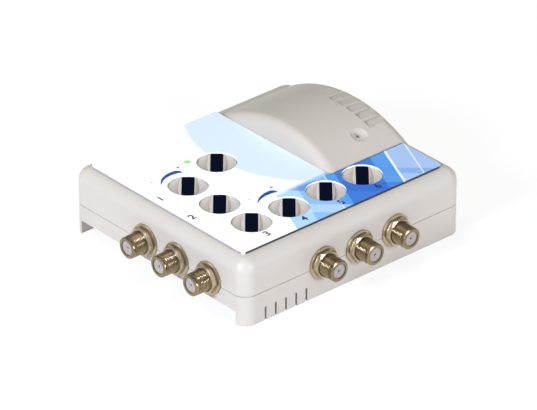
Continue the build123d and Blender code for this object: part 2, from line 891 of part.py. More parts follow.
# Bracket: a pressed tray under and around the core, with an ear at each end
with BuildPart() as transformer_bracket:
    with BuildSketch(over(transformer_x, transformer_y, bracket_bottom)):
        Rectangle(core_length + 2 * bracket_thickness, core_depth + 2 * bracket_thickness)
        Rectangle(ear_width, 2 * ear_offset + ear_length)
        Rectangle(
            core_length - 2 * bracket_lip, core_depth - 2 * bracket_lip, mode=Mode.SUBTRACT
        )
        with GridLocations(ear_width, 2 * ear_offset, 1, 2):
            Circle(screw_hole_radius, mode=Mode.SUBTRACT)
    extrude(amount=bracket_thickness)
    with BuildSketch(over(transformer_x, transformer_y, core_bottom)):
        Rectangle(core_length + 2 * bracket_thickness, core_depth + 2 * bracket_thickness)
        Rectangle(core_length, core_depth, mode=Mode.SUBTRACT)
    extrude(amount=stack_height)
transformer_bracket.part.label = "transformer_bracket"
export_step(transformer_bracket.part, "parts/transformer_bracket.step")


def make_screws(places, seat, length, side):
    """A group of slotted screws whose heads sit on one level, above it or below it."""
    with BuildPart() as screws:
        with BuildSketch(level(seat)):
            with Locations(*places):
                Circle(screw_radius)
        extrude(amount=-side * length)
        with BuildSketch(level(seat)):
            with Locations(*places):
                Circle(screw_head_radius)
        extrude(amount=side * screw_head_height)
        with BuildSketch(level(seat + side * screw_head_height)):
            with Locations(*places):
                Rectangle(2 * screw_head_radius, screw_slot_width)
        extrude(amount=-side * screw_slot_depth, mode=Mode.SUBTRACT)
    return screws.part


# Screws that hold the covers together, the board and the transformer
case_screws = make_screws(post_places, screw_seat, case_screw_length, -1)
case_screws.label = "case_screws"
export_step(case_screws, "parts/case_screws.step")
board_screws = make_screws(board_screw_places, board_top, board_screw_length, 1)
board_screws.label = "board_screws"
export_step(board_screws, "parts/board_screws.step")
bracket_screws = make_screws(ear_places, core_bottom, bracket_screw_length, 1)
bracket_screws.label = "bracket_screws"
export_step(bracket_screws, "parts/bracket_screws.step")

# Gland in the back wall, where the mains lead enters
with BuildPart() as mains_gland:
    with BuildSketch(gland_face.offset(-wall - gland_flange_thickness)):
        Circle(gland_flange_radius)
    extrude(amount=gland_flange_thickness)
    with BuildSketch(gland_face.offset(-wall)):
        Circle(gland_body_radius)
    extrude(amount=wall + gland_reach)
    with BuildSketch(gland_face):
        Circle(gland_flange_radius)
    extrude(amount=gland_flange_thickness)
    with BuildSketch(gland_face.offset(gland_reach)):
        Circle(gland_bore_radius)
    extrude(amount=-(gland_reach + wall + gland_flange_thickness), mode=Mode.SUBTRACT)
mains_gland.part.label = "mains_gland"
export_step(mains_gland.part, "parts/mains_gland.step")

# Mains terminal block: two wires from the back, two screws from above
with BuildPart() as mains_terminal:
    with BuildSketch(over(terminal_x, terminal_y, board_top)):
        Rectangle(terminal_width, terminal_depth)
    extrude(amount=terminal_height)
    with BuildSketch(back_face(terminal_x)):
        with Locations((0, board_top + terminal_hole_height - socket_height)):
            with GridLocations(terminal_width / 2, terminal_height, 2, 1):
                Circle(terminal_hole_radius)
    extrude(amount=-case_width, mode=Mode.SUBTRACT)
    with BuildSketch(over(terminal_x, terminal_y, board_top + terminal_height)):
        with GridLocations(terminal_width / 2, terminal_depth, 2, 1):
            Circle(terminal_screw_radius)
    extrude(amount=-(terminal_height - terminal_hole_height), mode=Mode.SUBTRACT)
mains_terminal.part.label = "mains_terminal"
export_step(mains_terminal.part, "parts/mains_terminal.step")

# Fuse and the two clips that hold its caps
fuse_height = board_top + clip_base + fuse_radius
fuse_end = Plane(
    origin=(case_left + fuse_x, case_front + fuse_y - fuse_length / 2, fuse_height),
    x_dir=(1, 0, 0), z_dir=(0, 1, 0),
)
with BuildPart() as fuse:
    with BuildSketch(fuse_end):
        Circle(fuse_glass_radius)
    extrude(amount=fuse_length)
    with BuildSketch(fuse_end, fuse_end.offset(fuse_length - fuse_cap_length)):
        Circle(fuse_radius)
    extrude(amount=fuse_cap_length)
fuse.part.label = "fuse"
export_step(fuse.part, "parts/fuse.step")

clip_start = (fuse_cap_length - clip_width) / 2
with BuildPart() as fuse_clips:
    with BuildSketch(
        fuse_end.offset(clip_start), fuse_end.offset(fuse_length - fuse_cap_length + clip_start)
    ):
        Rectangle(
            2 * (fuse_radius + clip_wall), fuse_radius + clip_base,
            align=(Align.CENTER, Align.MIN),
        )
        Circle(fuse_radius + clip_clearance, mode=Mode.SUBTRACT)
    extrude(amount=clip_width)
fuse_clips.part.label = "fuse_clips"
export_step(fuse_clips.part, "parts/fuse_clips.step")

# Rectifier diodes, lying in a row with their leads bent down to the board
with BuildPart() as rectifier_diodes:
    for i in range(diode_count):
        diode_x = diode_first_x + i * diode_pitch
        with BuildSketch(
            Plane(
                origin=(
                    case_left + diode_x, case_front + diode_y - diode_length / 2,
                    board_top + diode_radius,
                ),
                x_dir=(1, 0, 0), z_dir=(0, 1, 0),
            )
        ):
            Circle(diode_radius)
        extrude(amount=diode_length)
        with BuildSketch(over(diode_x, diode_y, board_top)):
            with GridLocations(lead_width, diode_length + 2 * lead_run - lead_width, 1, 2):
                Rectangle(lead_width, lead_width)
        extrude(amount=diode_radius + lead_width / 2)
        with BuildSketch(over(diode_x, diode_y, board_top + diode_radius)):
            Rectangle(lead_width, diode_length + 2 * lead_run)
        extrude(amount=lead_width / 2, both=True)
rectifier_diodes.part.label = "rectifier_diodes"
export_step(rectifier_diodes.part, "parts/rectifier_diodes.step")

# Smoothing capacitor
with BuildPart() as smoothing_capacitor:
    with BuildSketch(over(capacitor_x, capacitor_y, board_top)):
        Circle(capacitor_radius)
    extrude(amount=capacitor_height)
    chamfer(smoothing_capacitor.edges().sort_by(Axis.Z)[-1], capacitor_bevel)
smoothing_capacitor.part.label = "smoothing_capacitor"
export_step(smoothing_capacitor.part, "parts/smoothing_capacitor.step")

# Voltage regulator: body, metal tab behind it and three legs
with BuildPart() as regulator:
    with BuildSketch(over(regulator_x, regulator_y, board_top + regulator_leg_length)):
        Rectangle(regulator_width, regulator_thickness)
    extrude(amount=regulator_height)
    with BuildSketch(
        over(regulator_x, regulator_y + regulator_thickness / 2, board_top + regulator_leg_length)
    ):
        Rectangle(regulator_width, tab_thickness, align=(Align.CENTER, Align.MAX))
    extrude(amount=regulator_height + tab_rise)
    with BuildSketch(over(regulator_x, regulator_y, board_top)):
        with GridLocations(regulator_leg_pitch, lead_width, 3, 1):
            Rectangle(lead_width, lead_width)
    extrude(amount=regulator_leg_length)
regulator.part.label = "regulator"
export_step(regulator.part, "parts/regulator.step")

# Heat sink: a plate behind the regulator with a fin at each side
with BuildPart() as heat_sink:
    with BuildSketch(over(regulator_x, regulator_y + regulator_thickness / 2, board_top)):
        Rectangle(sink_width, sink_fin_depth, align=(Align.CENTER, Align.MIN))
        with Locations((0, sink_thickness)):
            Rectangle(
                sink_width - 2 * sink_thickness, sink_fin_depth,
                align=(Align.CENTER, Align.MIN), mode=Mode.SUBTRACT,
            )
    extrude(amount=sink_height)
heat_sink.part.label = "heat_sink"
export_step(heat_sink.part, "parts/heat_sink.step")

# Shield can over the amplifier chips
with BuildPart() as shield_can:
    with BuildSketch(over(can_x, can_y, board_top)):
        Rectangle(can_length, can_width)
    extrude(amount=can_height)
    with BuildSketch(over(can_x, can_y, board_top)):
        Rectangle(can_length - 2 * can_wall, can_width - 2 * can_wall)
    extrude(amount=can_height - can_wall, mode=Mode.SUBTRACT)
shield_can.part.label = "shield_can"
export_step(shield_can.part, "parts/shield_can.step")

with BuildPart() as amplifier_chips:
    with BuildSketch(over(can_x, can_y, board_top)):
        with GridLocations(chip_pitch, chip_width, chip_count, 1):
            Rectangle(chip_length, chip_width)
    extrude(amount=chip_height)
amplifier_chips.part.label = "amplifier_chips"
export_step(amplifier_chips.part, "parts/amplifier_chips.step")

# Ring cores of the splitter
with BuildPart() as splitter_cores:
    with BuildSketch(level(board_top)):
        for i in range(ring_count):
            with Locations((ring_first_x + i * ring_pitch, ring_y)):
                Circle(ring_outer_radius)
                Circle(ring_inner_radius, mode=Mode.SUBTRACT)
    extrude(amount=ring_height)
splitter_cores.part.label = "splitter_cores"
export_step(splitter_cores.part, "parts/splitter_cores.step")

# Small filter capacitors in a row behind the front potentiometers
with BuildPart() as filter_capacitors:
    with BuildSketch(level(board_top)):
        for i in range(filter_count):
            with Locations((filter_x + i * filter_pitch, filter_y)):
                Circle(filter_radius)
    extrude(amount=filter_height)
filter_capacitors.part.label = "filter_capacitors"
export_step(filter_capacitors.part, "parts/filter_capacitors.step")
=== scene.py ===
"""Studio scene of a distribution amplifier for aerial sockets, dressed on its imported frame.

Every length is in metres unless its name says otherwise. Pieces sit in the frame's own space: X to the
right along the front wall, Y to the back, Z up from the surface that the box stands on.
"""
from __future__ import annotations

import logging
import math
from dataclasses import dataclass, replace
from enum import Enum
from typing import Callable, Sequence

import bmesh
import bpy
from mathutils import Matrix, Vector

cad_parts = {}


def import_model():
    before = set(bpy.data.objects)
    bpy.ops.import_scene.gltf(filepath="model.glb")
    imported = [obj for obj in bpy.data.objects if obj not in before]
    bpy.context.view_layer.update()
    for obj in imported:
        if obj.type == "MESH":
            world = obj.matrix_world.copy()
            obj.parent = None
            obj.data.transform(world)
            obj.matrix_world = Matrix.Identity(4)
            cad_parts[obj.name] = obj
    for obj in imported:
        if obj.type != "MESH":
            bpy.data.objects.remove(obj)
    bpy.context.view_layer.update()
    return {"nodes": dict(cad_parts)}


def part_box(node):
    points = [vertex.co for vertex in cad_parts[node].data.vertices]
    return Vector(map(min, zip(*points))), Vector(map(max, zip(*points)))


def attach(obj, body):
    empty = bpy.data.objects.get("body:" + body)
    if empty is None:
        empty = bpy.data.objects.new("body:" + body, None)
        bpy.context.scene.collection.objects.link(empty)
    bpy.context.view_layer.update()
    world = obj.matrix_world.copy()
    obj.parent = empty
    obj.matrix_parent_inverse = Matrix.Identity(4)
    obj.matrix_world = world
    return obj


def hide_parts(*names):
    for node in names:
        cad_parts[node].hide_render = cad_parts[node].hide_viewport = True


MM = 0.001
AMPLIFIER = "amplifier"
OUTPUTS = 6
LEFT_SOCKETS = 3
SHARP_ANGLE = 35.0
WELD_DISTANCE = 0.001 * MM
LOG = logging.getLogger("amplifier")

# The Mix node's sockets for colours, which share their names with those for plain numbers
MIX_SHARE, MIX_FIRST, MIX_SECOND, MIX_RESULT = 0, 6, 7, 2

Colour = tuple[float, float, float]
Tree = bpy.types.NodeTree
Node = bpy.types.Node
Plug = bpy.types.NodeSocket
Mesh = bmesh.types.BMesh
Material = bpy.types.Material
Nodes = dict[str, bpy.types.Object]
TreeFiller = Callable[[Tree, Node, Node], None]


class Side(Enum):
    """The walls that carry sockets, as the direction in which each looks."""

    LEFT = (-1.0, 0.0)
    FRONT = (0.0, -1.0)
    BACK = (0.0, 1.0)

    @property
    def outwards(self) -> Vector:
        """The wall's outward normal."""
        return Vector((*self.value, 0.0))


class Mark(Enum):
    """The plain signs printed beside the gain wedges."""

    MINUS = "-"
    PLUS = "+"


def srgb(red: int, green: int, blue: int) -> Colour:
    """Turn a colour as it looks on a screen, from 0 to 255, into linear light.

    Args:
        red: Red as it looks.
        green: Green as it looks.
        blue: Blue as it looks.

    Returns:
        The same colour in linear light.
    """
    def linear(value: int) -> float:
        """Turn one channel into linear light by the usual curve of screens."""
        share = value / 255
        return share / 12.92 if share <= 0.04045 else ((share + 0.055) / 1.055) ** 2.4

    return (linear(red), linear(green), linear(blue))


# Shader tools


def node_group(name: str, inputs: Sequence[tuple[str, str, object]], outputs: Sequence[tuple[str, str]],
               build: TreeFiller) -> Tree:
    """Build a shader node group once and return it again on later calls.

    Args:
        name: The group's name.
        inputs: Name, socket kind and default of each input.
        outputs: Name and socket kind of each output.
        build: Fills the tree between its group input and output nodes.

    Returns:
        The node tree.
    """
    if name in bpy.data.node_groups:
        return bpy.data.node_groups[name]
    tree = bpy.data.node_groups.new(name, "ShaderNodeTree")
    for label, kind, default in inputs:
        socket = tree.interface.new_socket(label, in_out="INPUT", socket_type=kind)
        if default is not None:
            socket.default_value = default
    for label, kind in outputs:
        tree.interface.new_socket(label, in_out="OUTPUT", socket_type=kind)
    build(tree, tree.nodes.new("NodeGroupInput"), tree.nodes.new("NodeGroupOutput"))
    return tree


def math_node(tree: Tree, operation: str, first: object, second: object = None, clamp: bool = False) -> Plug:
    """Add a Math node and return its output.

    Args:
        tree: The tree that gets the node.
        operation: Blender's name of the operation.
        first: A socket or a number.
        second: A socket, a number or nothing.
        clamp: Whether the result is held between 0 and 1.

    Returns:
        The node's value output.
    """
    node = tree.nodes.new("ShaderNodeMath")
    node.operation = operation
    node.use_clamp = clamp
    for index, value in enumerate((first, second)):
        if isinstance(value, Plug):
            tree.links.new(value, node.inputs[index])
        elif value is not None:
            node.inputs[index].default_value = value
    return node.outputs[0]


def mix_node(tree: Tree, share: object, first: object, second: object) -> Plug:
    """Add a colour Mix node and return its result.

    Args:
        tree: The tree that gets the node.
        share: How much of the second colour shows, a socket or a number.
        first: The colour at 0, a socket or a colour.
        second: The colour at 1, a socket or a colour.

    Returns:
        The node's colour output.
    """
    node = tree.nodes.new("ShaderNodeMix")
    node.data_type = "RGBA"
    for index, value in ((MIX_SHARE, share), (MIX_FIRST, first), (MIX_SECOND, second)):
        if isinstance(value, Plug):
            tree.links.new(value, node.inputs[index])
        else:
            node.inputs[index].default_value = value if index == MIX_SHARE else (*value, 1.0)
    return node.outputs[MIX_RESULT]


def object_axes(tree: Tree) -> tuple[Plug, ...]:
    """Add Object coordinates and split them.

    Args:
        tree: The tree that gets the nodes.

    Returns:
        Their X, Y and Z.
    """
    place = tree.nodes.new("ShaderNodeTexCoord")
    split = tree.nodes.new("ShaderNodeSeparateXYZ")
    tree.links.new(place.outputs["Object"], split.inputs[0])
    return tuple(split.outputs)


def build_grain(tree: Tree, entry: Node, leave: Node) -> None:
    """Fill the group for moulded grain: a slow tint change, fine bumps and uneven gloss.

    Args:
        tree: The group's tree.
        entry: Its input node.
        leave: Its output node.
    """
    middle = 0.5
    coarse_detail, fine_detail = 3.0, 2.0
    place = tree.nodes.new("ShaderNodeTexCoord")
    coarse = tree.nodes.new("ShaderNodeTexNoise")
    fine = tree.nodes.new("ShaderNodeTexNoise")
    for noise, detail, scale in ((coarse, coarse_detail, "Blotch Scale"), (fine, fine_detail, "Grain Scale")):
        noise.inputs["Detail"].default_value = detail
        tree.links.new(place.outputs["Object"], noise.inputs["Vector"])
        tree.links.new(entry.outputs[scale], noise.inputs["Scale"])
    swing = math_node(tree, "SUBTRACT", coarse.outputs["Fac"], middle)
    depth = math_node(tree, "MULTIPLY", swing, entry.outputs["Blotch Depth"])
    shade = math_node(tree, "ADD", depth, middle, clamp=True)
    tint = mix_node(tree, shade, entry.outputs["Dark"], entry.outputs["Light"])
    tree.links.new(tint, leave.inputs["Color"])
    gloss = math_node(tree, "MULTIPLY", swing, entry.outputs["Gloss Swing"])
    roughness = math_node(tree, "ADD", gloss, entry.outputs["Roughness"], clamp=True)
    tree.links.new(roughness, leave.inputs["Roughness"])
    tree.links.new(fine.outputs["Fac"], leave.inputs["Height"])


def grain_group() -> Tree:
    """Return the group that gives every moulded, coated or cast surface its uneven finish."""
    return node_group(
        "surface_grain",
        (("Dark", "NodeSocketColor", (0.4, 0.4, 0.4, 1)), ("Light", "NodeSocketColor", (0.6, 0.6, 0.6, 1)),
         ("Roughness", "NodeSocketFloat", 0.4), ("Gloss Swing", "NodeSocketFloat", 0.1),
         ("Blotch Scale", "NodeSocketFloat", 40.0), ("Blotch Depth", "NodeSocketFloat", 1.0),
         ("Grain Scale", "NodeSocketFloat", 2500.0)),
        (("Color", "NodeSocketColor"), ("Roughness", "NodeSocketFloat"), ("Height", "NodeSocketFloat")),
        build_grain,
    )


def press_bump(tree: Tree, grain: Node, strength: float, height: float) -> Node:
    """Press the grain's fine bumps into a material.

    Args:
        tree: The material's node tree.
        grain: Its grain group node.
        strength: How strong the bumps are.
        height: How high they are.

    Returns:
        The bump node.
    """
    bump = tree.nodes.new("ShaderNodeBump")
    bump.inputs["Strength"].default_value = strength
    bump.inputs["Distance"].default_value = height
    tree.links.new(grain.outputs["Height"], bump.inputs["Height"])
    tree.links.new(bump.outputs["Normal"], tree.nodes["Principled BSDF"].inputs["Normal"])
    return bump


@dataclass(frozen=True)
class Finish:
    """A solid finish with an uneven tint, an uneven gloss and a fine bump."""

    name: str
    dark: Colour
    light: Colour
    roughness: float = 0.4
    gloss_swing: float = 0.1
    metallic: float = 0.0
    coat: float = 0.0
    coat_roughness: float = 0.15
    specular: float = 0.5
    blotch_scale: float = 40.0
    blotch_depth: float = 1.0
    grain_scale: float = 2500.0
    bump: float = 0.05
    bump_height: float = 0.02 * MM

    def material(self) -> Material:
        """Build the finish's material on its first use.

        Returns:
            The material.
        """
        if self.name in bpy.data.materials:
            return bpy.data.materials[self.name]
        material = bpy.data.materials.new(self.name)
        material.use_nodes = True
        tree = material.node_tree
        shader = tree.nodes["Principled BSDF"]
        shader.inputs["Metallic"].default_value = self.metallic
        shader.inputs["Specular IOR Level"].default_value = self.specular
        shader.inputs["Coat Weight"].default_value = self.coat
        shader.inputs["Coat Roughness"].default_value = self.coat_roughness
        grain = tree.nodes.new("ShaderNodeGroup")
        grain.node_tree = grain_group()
        for label, value in (
            ("Dark", (*self.dark, 1.0)), ("Light", (*self.light, 1.0)), ("Roughness", self.roughness),
            ("Gloss Swing", self.gloss_swing), ("Blotch Scale", self.blotch_scale),
            ("Blotch Depth", self.blotch_depth), ("Grain Scale", self.grain_scale),
        ):
            grain.inputs[label].default_value = value
        tree.links.new(grain.outputs["Color"], shader.inputs["Base Color"])
        tree.links.new(grain.outputs["Roughness"], shader.inputs["Roughness"])
        self.detail(tree, shader, grain, press_bump(tree, grain, self.bump, self.bump_height))
        return material

    def detail(self, tree: Tree, shader: Node, grain: Node, bump: Node) -> None:
        """Add what sets one kind of finish apart. A plain finish adds nothing.

        Args:
            tree: The material's node tree.
            shader: Its Principled shader.
            grain: Its grain group node.
            bump: Its bump node.
        """


@dataclass(frozen=True)
class Stripes(Finish):
    """A finish with fine parallel lines along one axis, such as laminations, wire or board tracks."""

    axis: int = 2
    pitch: float = 0.5 * MM
    line_share: float = 0.25
    line: Colour = (0.02, 0.02, 0.02)

    def detail(self, tree: Tree, shader: Node, grain: Node, bump: Node) -> None:
        """Draw the lines over the grain's colour and press them into the bump.

        Args:
            tree: The material's node tree.
            shader: Its Principled shader.
            grain: Its grain group node.
            bump: Its bump node.
        """
        place = object_axes(tree)[self.axis]
        turns = math_node(tree, "FRACT", math_node(tree, "DIVIDE", place, self.pitch))
        mask = math_node(tree, "LESS_THAN", turns, self.line_share)
        tree.links.new(mix_node(tree, mask, grain.outputs["Color"], self.line), shader.inputs["Base Color"])
        tree.links.new(math_node(tree, "SUBTRACT", grain.outputs["Height"], mask), bump.inputs["Height"])


@dataclass(frozen=True)
class Glow(Finish):
    """A finish that gives off some light of its own."""

    glow: Colour = (0.1, 0.8, 0.1)
    strength: float = 0.5

    def detail(self, tree: Tree, shader: Node, grain: Node, bump: Node) -> None:
        """Set the light that the finish gives off."""
        shader.inputs["Emission Color"].default_value = (*self.glow, 1.0)
        shader.inputs["Emission Strength"].default_value = self.strength


CASING = Finish("casing_abs", srgb(176, 170, 159), srgb(185, 180, 170), roughness=0.42, gloss_swing=0.08,
                blotch_scale=22.0, blotch_depth=1.2, grain_scale=1800.0, bump=0.12, bump_height=0.03 * MM)
DIAL = Finish("dial_abs", srgb(182, 176, 166), srgb(194, 189, 180), roughness=0.3, blotch_scale=90.0,
              grain_scale=2600.0, bump=0.06)
INLAY = Finish("dial_inlay", srgb(1, 5, 22), srgb(3, 10, 32), roughness=0.7, gloss_swing=0.12, specular=0.03,
               blotch_scale=160.0, grain_scale=3500.0)
# The barrels' nickel is darker and browner than that of the nuts and washers: painted shade that stands for
# the dark reflections along the barrels
SHADED_BARREL_NICKEL = Finish("barrel_nickel_painted_shade", srgb(134, 120, 92), srgb(160, 144, 114), roughness=0.24,
                       gloss_swing=0.16, metallic=1.0, blotch_scale=180.0, blotch_depth=1.6,
                       grain_scale=1500.0, bump=0.08)
NICKEL = replace(SHADED_BARREL_NICKEL, name="warm_nickel", dark=srgb(170, 155, 130), light=srgb(196, 181, 155),
                 roughness=0.3)
WHITE_INSULATOR = Finish("socket_insulator", srgb(146, 138, 134), srgb(156, 148, 144), roughness=0.5,
                         blotch_scale=200.0)
# Painted shade: the colour of a dark disc set deep in each contact hole
HOLE_SHADE = Finish("contact_hole_painted_shade", srgb(52, 48, 48), srgb(70, 64, 62), roughness=0.6)
LIGHT = Glow("power_light_lens", srgb(96, 200, 88), srgb(130, 226, 112), roughness=0.2, coat=0.4,
             glow=srgb(90, 220, 80), strength=0.25)
RUBBER = Finish("gland_rubber", srgb(20, 20, 20), srgb(36, 36, 36), roughness=0.65, grain_scale=1600.0,
                bump=0.2)
ZINC = Finish("zinc_screw", srgb(150, 150, 152), srgb(196, 196, 198), roughness=0.32, metallic=1.0,
              blotch_scale=300.0)
INK = Finish("label_ink_dark", srgb(26, 38, 60), srgb(38, 52, 78), specular=0.3, blotch_scale=300.0)
WEDGE_INK = replace(INK, name="label_ink_blue", dark=srgb(20, 62, 138), light=srgb(34, 82, 160))
BOARD = Stripes("board_solder_mask", srgb(14, 84, 40), srgb(22, 104, 52), roughness=0.35, coat=0.3,
                axis=0, pitch=2.54 * MM, line_share=0.3, line=srgb(30, 128, 66))
POT = Finish("potentiometer_body", srgb(24, 52, 128), srgb(34, 70, 156))
LAMINATIONS = Stripes("transformer_laminations", srgb(66, 66, 70), srgb(92, 92, 96), roughness=0.45,
                      metallic=0.8, axis=2, pitch=0.5 * MM, line_share=0.2, line=srgb(24, 24, 26))
BOBBIN = Finish("bobbin_nylon", srgb(222, 214, 186), srgb(236, 230, 206), roughness=0.5)
PRIMARY = Stripes("primary_tape", srgb(196, 150, 40), srgb(214, 172, 62), roughness=0.35, coat=0.3,
                  axis=1, pitch=2.6 * MM, line_share=0.04, line=srgb(120, 88, 24))
SECONDARY = Stripes("secondary_wire", srgb(150, 78, 34), srgb(182, 100, 50), roughness=0.3, metallic=0.9,
                    axis=1, pitch=0.4 * MM, line_share=0.3, line=srgb(70, 34, 14))
TERMINAL = Finish("terminal_block", srgb(22, 104, 52), srgb(34, 124, 66), roughness=0.45)
GLASS = Finish("fuse_tube", srgb(196, 204, 204), srgb(220, 226, 226), roughness=0.08, coat=0.8)
CLIP = Finish("clip_brass", srgb(176, 150, 90), srgb(206, 180, 118), roughness=0.3, metallic=1.0)
EPOXY = Finish("black_epoxy", srgb(20, 20, 22), srgb(34, 34, 36), roughness=0.5)
CAN = Finish("capacitor_sleeve", srgb(40, 60, 110), srgb(56, 78, 134), roughness=0.3, coat=0.3)
SINK = Stripes("heat_sink_aluminium", srgb(180, 182, 186), srgb(204, 206, 210), roughness=0.35, metallic=1.0,
               axis=2, pitch=0.6 * MM, line_share=0.12, line=srgb(140, 142, 146))
TINPLATE = Finish("shield_tinplate", srgb(178, 178, 174), srgb(208, 208, 204), roughness=0.25, metallic=1.0,
                  blotch_scale=140.0)
FERRITE = Finish("splitter_ferrite", srgb(44, 44, 48), srgb(62, 62, 66), roughness=0.55)


@dataclass(frozen=True)
class Band:
    """A stretch of ink across the plate, by where it starts and ends along its direction."""

    start: float
    end: float
    ink: Colour
    strength: float


@dataclass(frozen=True)
class LabelPrint:
    """The printed plate: white at the left, pale blue towards the hump, slanted blue bands in front, with
    painted shade along its front edge, at the hump's foot and on its outer cut sides.

    Places are measured from the plate's front left corner. A lean is how far a band moves to the right, as a
    share of the way to the front. A stretch is where something starts and ends.
    """

    name: str = "label_print_and_shade"
    white: Colour = srgb(252, 253, 255)
    pale: Colour = srgb(203, 224, 240)
    sky: Colour = srgb(136, 198, 236)
    mid: Colour = srgb(62, 142, 218)
    deep: Colour = srgb(16, 88, 192)
    haze: Colour = srgb(160, 186, 226)
    # Painted shade for the cut sides and edges: grey on sides that face left, dark on those that face the
    # front
    left_edge: Colour = srgb(150, 150, 158)
    front_edge: Colour = srgb(34, 38, 48)
    roughness: float = 0.32
    coat: float = 0.25
    coat_roughness: float = 0.12
    grain_scale: float = 2200.0
    bump: float = 0.04
    bump_height: float = 0.01 * MM
    crisp: float = 0.05 * MM
    before_plate: float = -10 * MM
    slant_lean: float = -0.45
    cross_lean: float = 1.1
    disc_from_right: float = 12 * MM
    disc_from_front: float = 66 * MM
    disc_radius: float = 56 * MM
    disc_blur: float = 1.2 * MM
    disc_strength: float = 0.85
    front_depth: float = 28 * MM
    front_blur: float = 3 * MM
    slanted: tuple[Band, ...] = (
        Band(29 * MM, 200 * MM, sky, 0.8), Band(40 * MM, 55 * MM, mid, 0.45),
        Band(55 * MM, 88 * MM, mid, 0.9), Band(60 * MM, 80 * MM, deep, 0.65),
        Band(88 * MM, 130 * MM, haze, 0.85),
    )
    crossed_stretch: tuple[float, float] = (33 * MM, 200 * MM)
    crossing: tuple[Band, ...] = (
        Band(50 * MM, 60 * MM, pale, 0.45), Band(76 * MM, 88 * MM, deep, 0.5),
        Band(99 * MM, 106 * MM, mid, 0.45),
    )
    streaks: tuple[tuple[float, float], ...] = (
        (54.6 * MM, 0.8 * MM), (87.4 * MM, 1.6 * MM), (98.5 * MM, 1.0 * MM),
    )
    streak_blur: float = 0.5 * MM
    streak_strength: float = 0.8
    # Painted shade along the front edge, then painted shadow along the hump's foot
    edge_line: float = 0.22 * MM
    edge_strength: float = 0.9
    hump_left: float = 69.2 * MM
    hump_front: float = 24.9 * MM
    hump_line: float = 0.45 * MM
    hump_line_strength: float = 0.85
    hump_stretch: tuple[float, float] = (0.2 * MM, 60 * MM)
    rim_width: float = 0.4 * MM
    side_slope: float = 0.5
    left_slope: float = -0.8

    def band(self, tree: Tree, along: Plug, start: float, end: float, blur: float = 0.25 * MM) -> Plug:
        """Make a mask that is 1 between two places along a direction.

        Args:
            tree: The material's node tree.
            along: The distance along the direction.
            start: Where the band starts.
            end: Where the band ends.
            blur: How wide each edge is.

        Returns:
            The mask.
        """
        rise = math_node(tree, "DIVIDE", math_node(tree, "SUBTRACT", along, start), blur, clamp=True)
        fall = math_node(tree, "DIVIDE", math_node(tree, "SUBTRACT", end, along), blur, clamp=True)
        return math_node(tree, "MULTIPLY", rise, fall)

    def lay(self, tree: Tree, under: object, ink: object, mask: Plug, strength: float) -> Plug:
        """Lay an ink over the colour under it.

        Args:
            tree: The material's node tree.
            under: The colour under the ink.
            ink: The ink's colour.
            mask: Where the ink lies.
            strength: How much it covers there.

        Returns:
            The new colour.
        """
        return mix_node(tree, math_node(tree, "MULTIPLY", mask, strength), under, ink)

    def disc_colour(self, tree: Tree) -> Plug:
        """Print the large pale disc by the hump on the white plate.

        Args:
            tree: The material's node tree.

        Returns:
            The colour of the plate with the disc.
        """
        low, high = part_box("label")
        place = tree.nodes.new("ShaderNodeTexCoord")
        reach = tree.nodes.new("ShaderNodeVectorMath")
        reach.operation = "DISTANCE"
        tree.links.new(place.outputs["Object"], reach.inputs[0])
        reach.inputs[1].default_value = (high.x - self.disc_from_right, low.y + self.disc_from_front, high.z)
        disc = self.band(tree, reach.outputs["Value"], self.before_plate, self.disc_radius, self.disc_blur)
        return self.lay(tree, self.white, self.pale, disc, self.disc_strength)

    def band_colour(self, tree: Tree, right: Plug, back: Plug, colour: Plug) -> Plug:
        """Print the slanted bands, the bands that cross them and the white streaks along the front.

        Args:
            tree: The material's node tree.
            right: The distance from the plate's left edge.
            back: The distance from its front edge.
            colour: The colour under the bands.

        Returns:
            The new colour.
        """
        slant = math_node(tree, "ADD", right, math_node(tree, "MULTIPLY", back, self.slant_lean))
        cross = math_node(tree, "ADD", right, math_node(tree, "MULTIPLY", back, self.cross_lean))
        front = self.band(tree, back, self.before_plate, self.front_depth, self.front_blur)
        crossed = math_node(tree, "MULTIPLY", self.band(tree, slant, *self.crossed_stretch), front)
        for bands, along, place in ((self.slanted, slant, front), (self.crossing, cross, crossed)):
            for band in bands:
                mask = math_node(tree, "MULTIPLY", self.band(tree, along, band.start, band.end), place)
                colour = self.lay(tree, colour, band.ink, mask, band.strength)
        for start, width in self.streaks:
            streak = self.band(tree, slant, start, start + width, self.streak_blur)
            mask = math_node(tree, "MULTIPLY", streak, self.streak_strength)
            colour = mix_node(tree, math_node(tree, "MULTIPLY", mask, front), colour, self.white)
        return colour

    def edge_colour(self, tree: Tree, right: Plug, back: Plug, colour: Plug) -> Plug:
        """Paint shade on the plate: a dark line along its front edge and along the hump's foot, and shade on
        its outer cut sides, darker on those that face the front than on those that face left; its other cut
        sides are white.

        Args:
            tree: The material's node tree.
            right: The distance from the plate's left edge.
            back: The distance from its front edge.
            colour: The colour of the plate's top.

        Returns:
            The new colour.
        """
        # Painted shadow: a dark strip on the plate's top along the hump's foot
        hump_back = 2 * self.hump_front
        by_hump = math_node(tree, "GREATER_THAN", right, self.hump_left)
        foot = self.band(tree, back, self.hump_front - self.hump_line, hump_back, self.crisp)
        foot = math_node(tree, "MULTIPLY", by_hump, foot)
        colour = self.lay(tree, colour, self.front_edge, foot, self.hump_line_strength)
        # Painted shade: a dark line along the plate's front edge
        front = math_node(tree, "LESS_THAN", back, self.edge_line)
        colour = self.lay(tree, colour, self.front_edge, front, self.edge_strength)
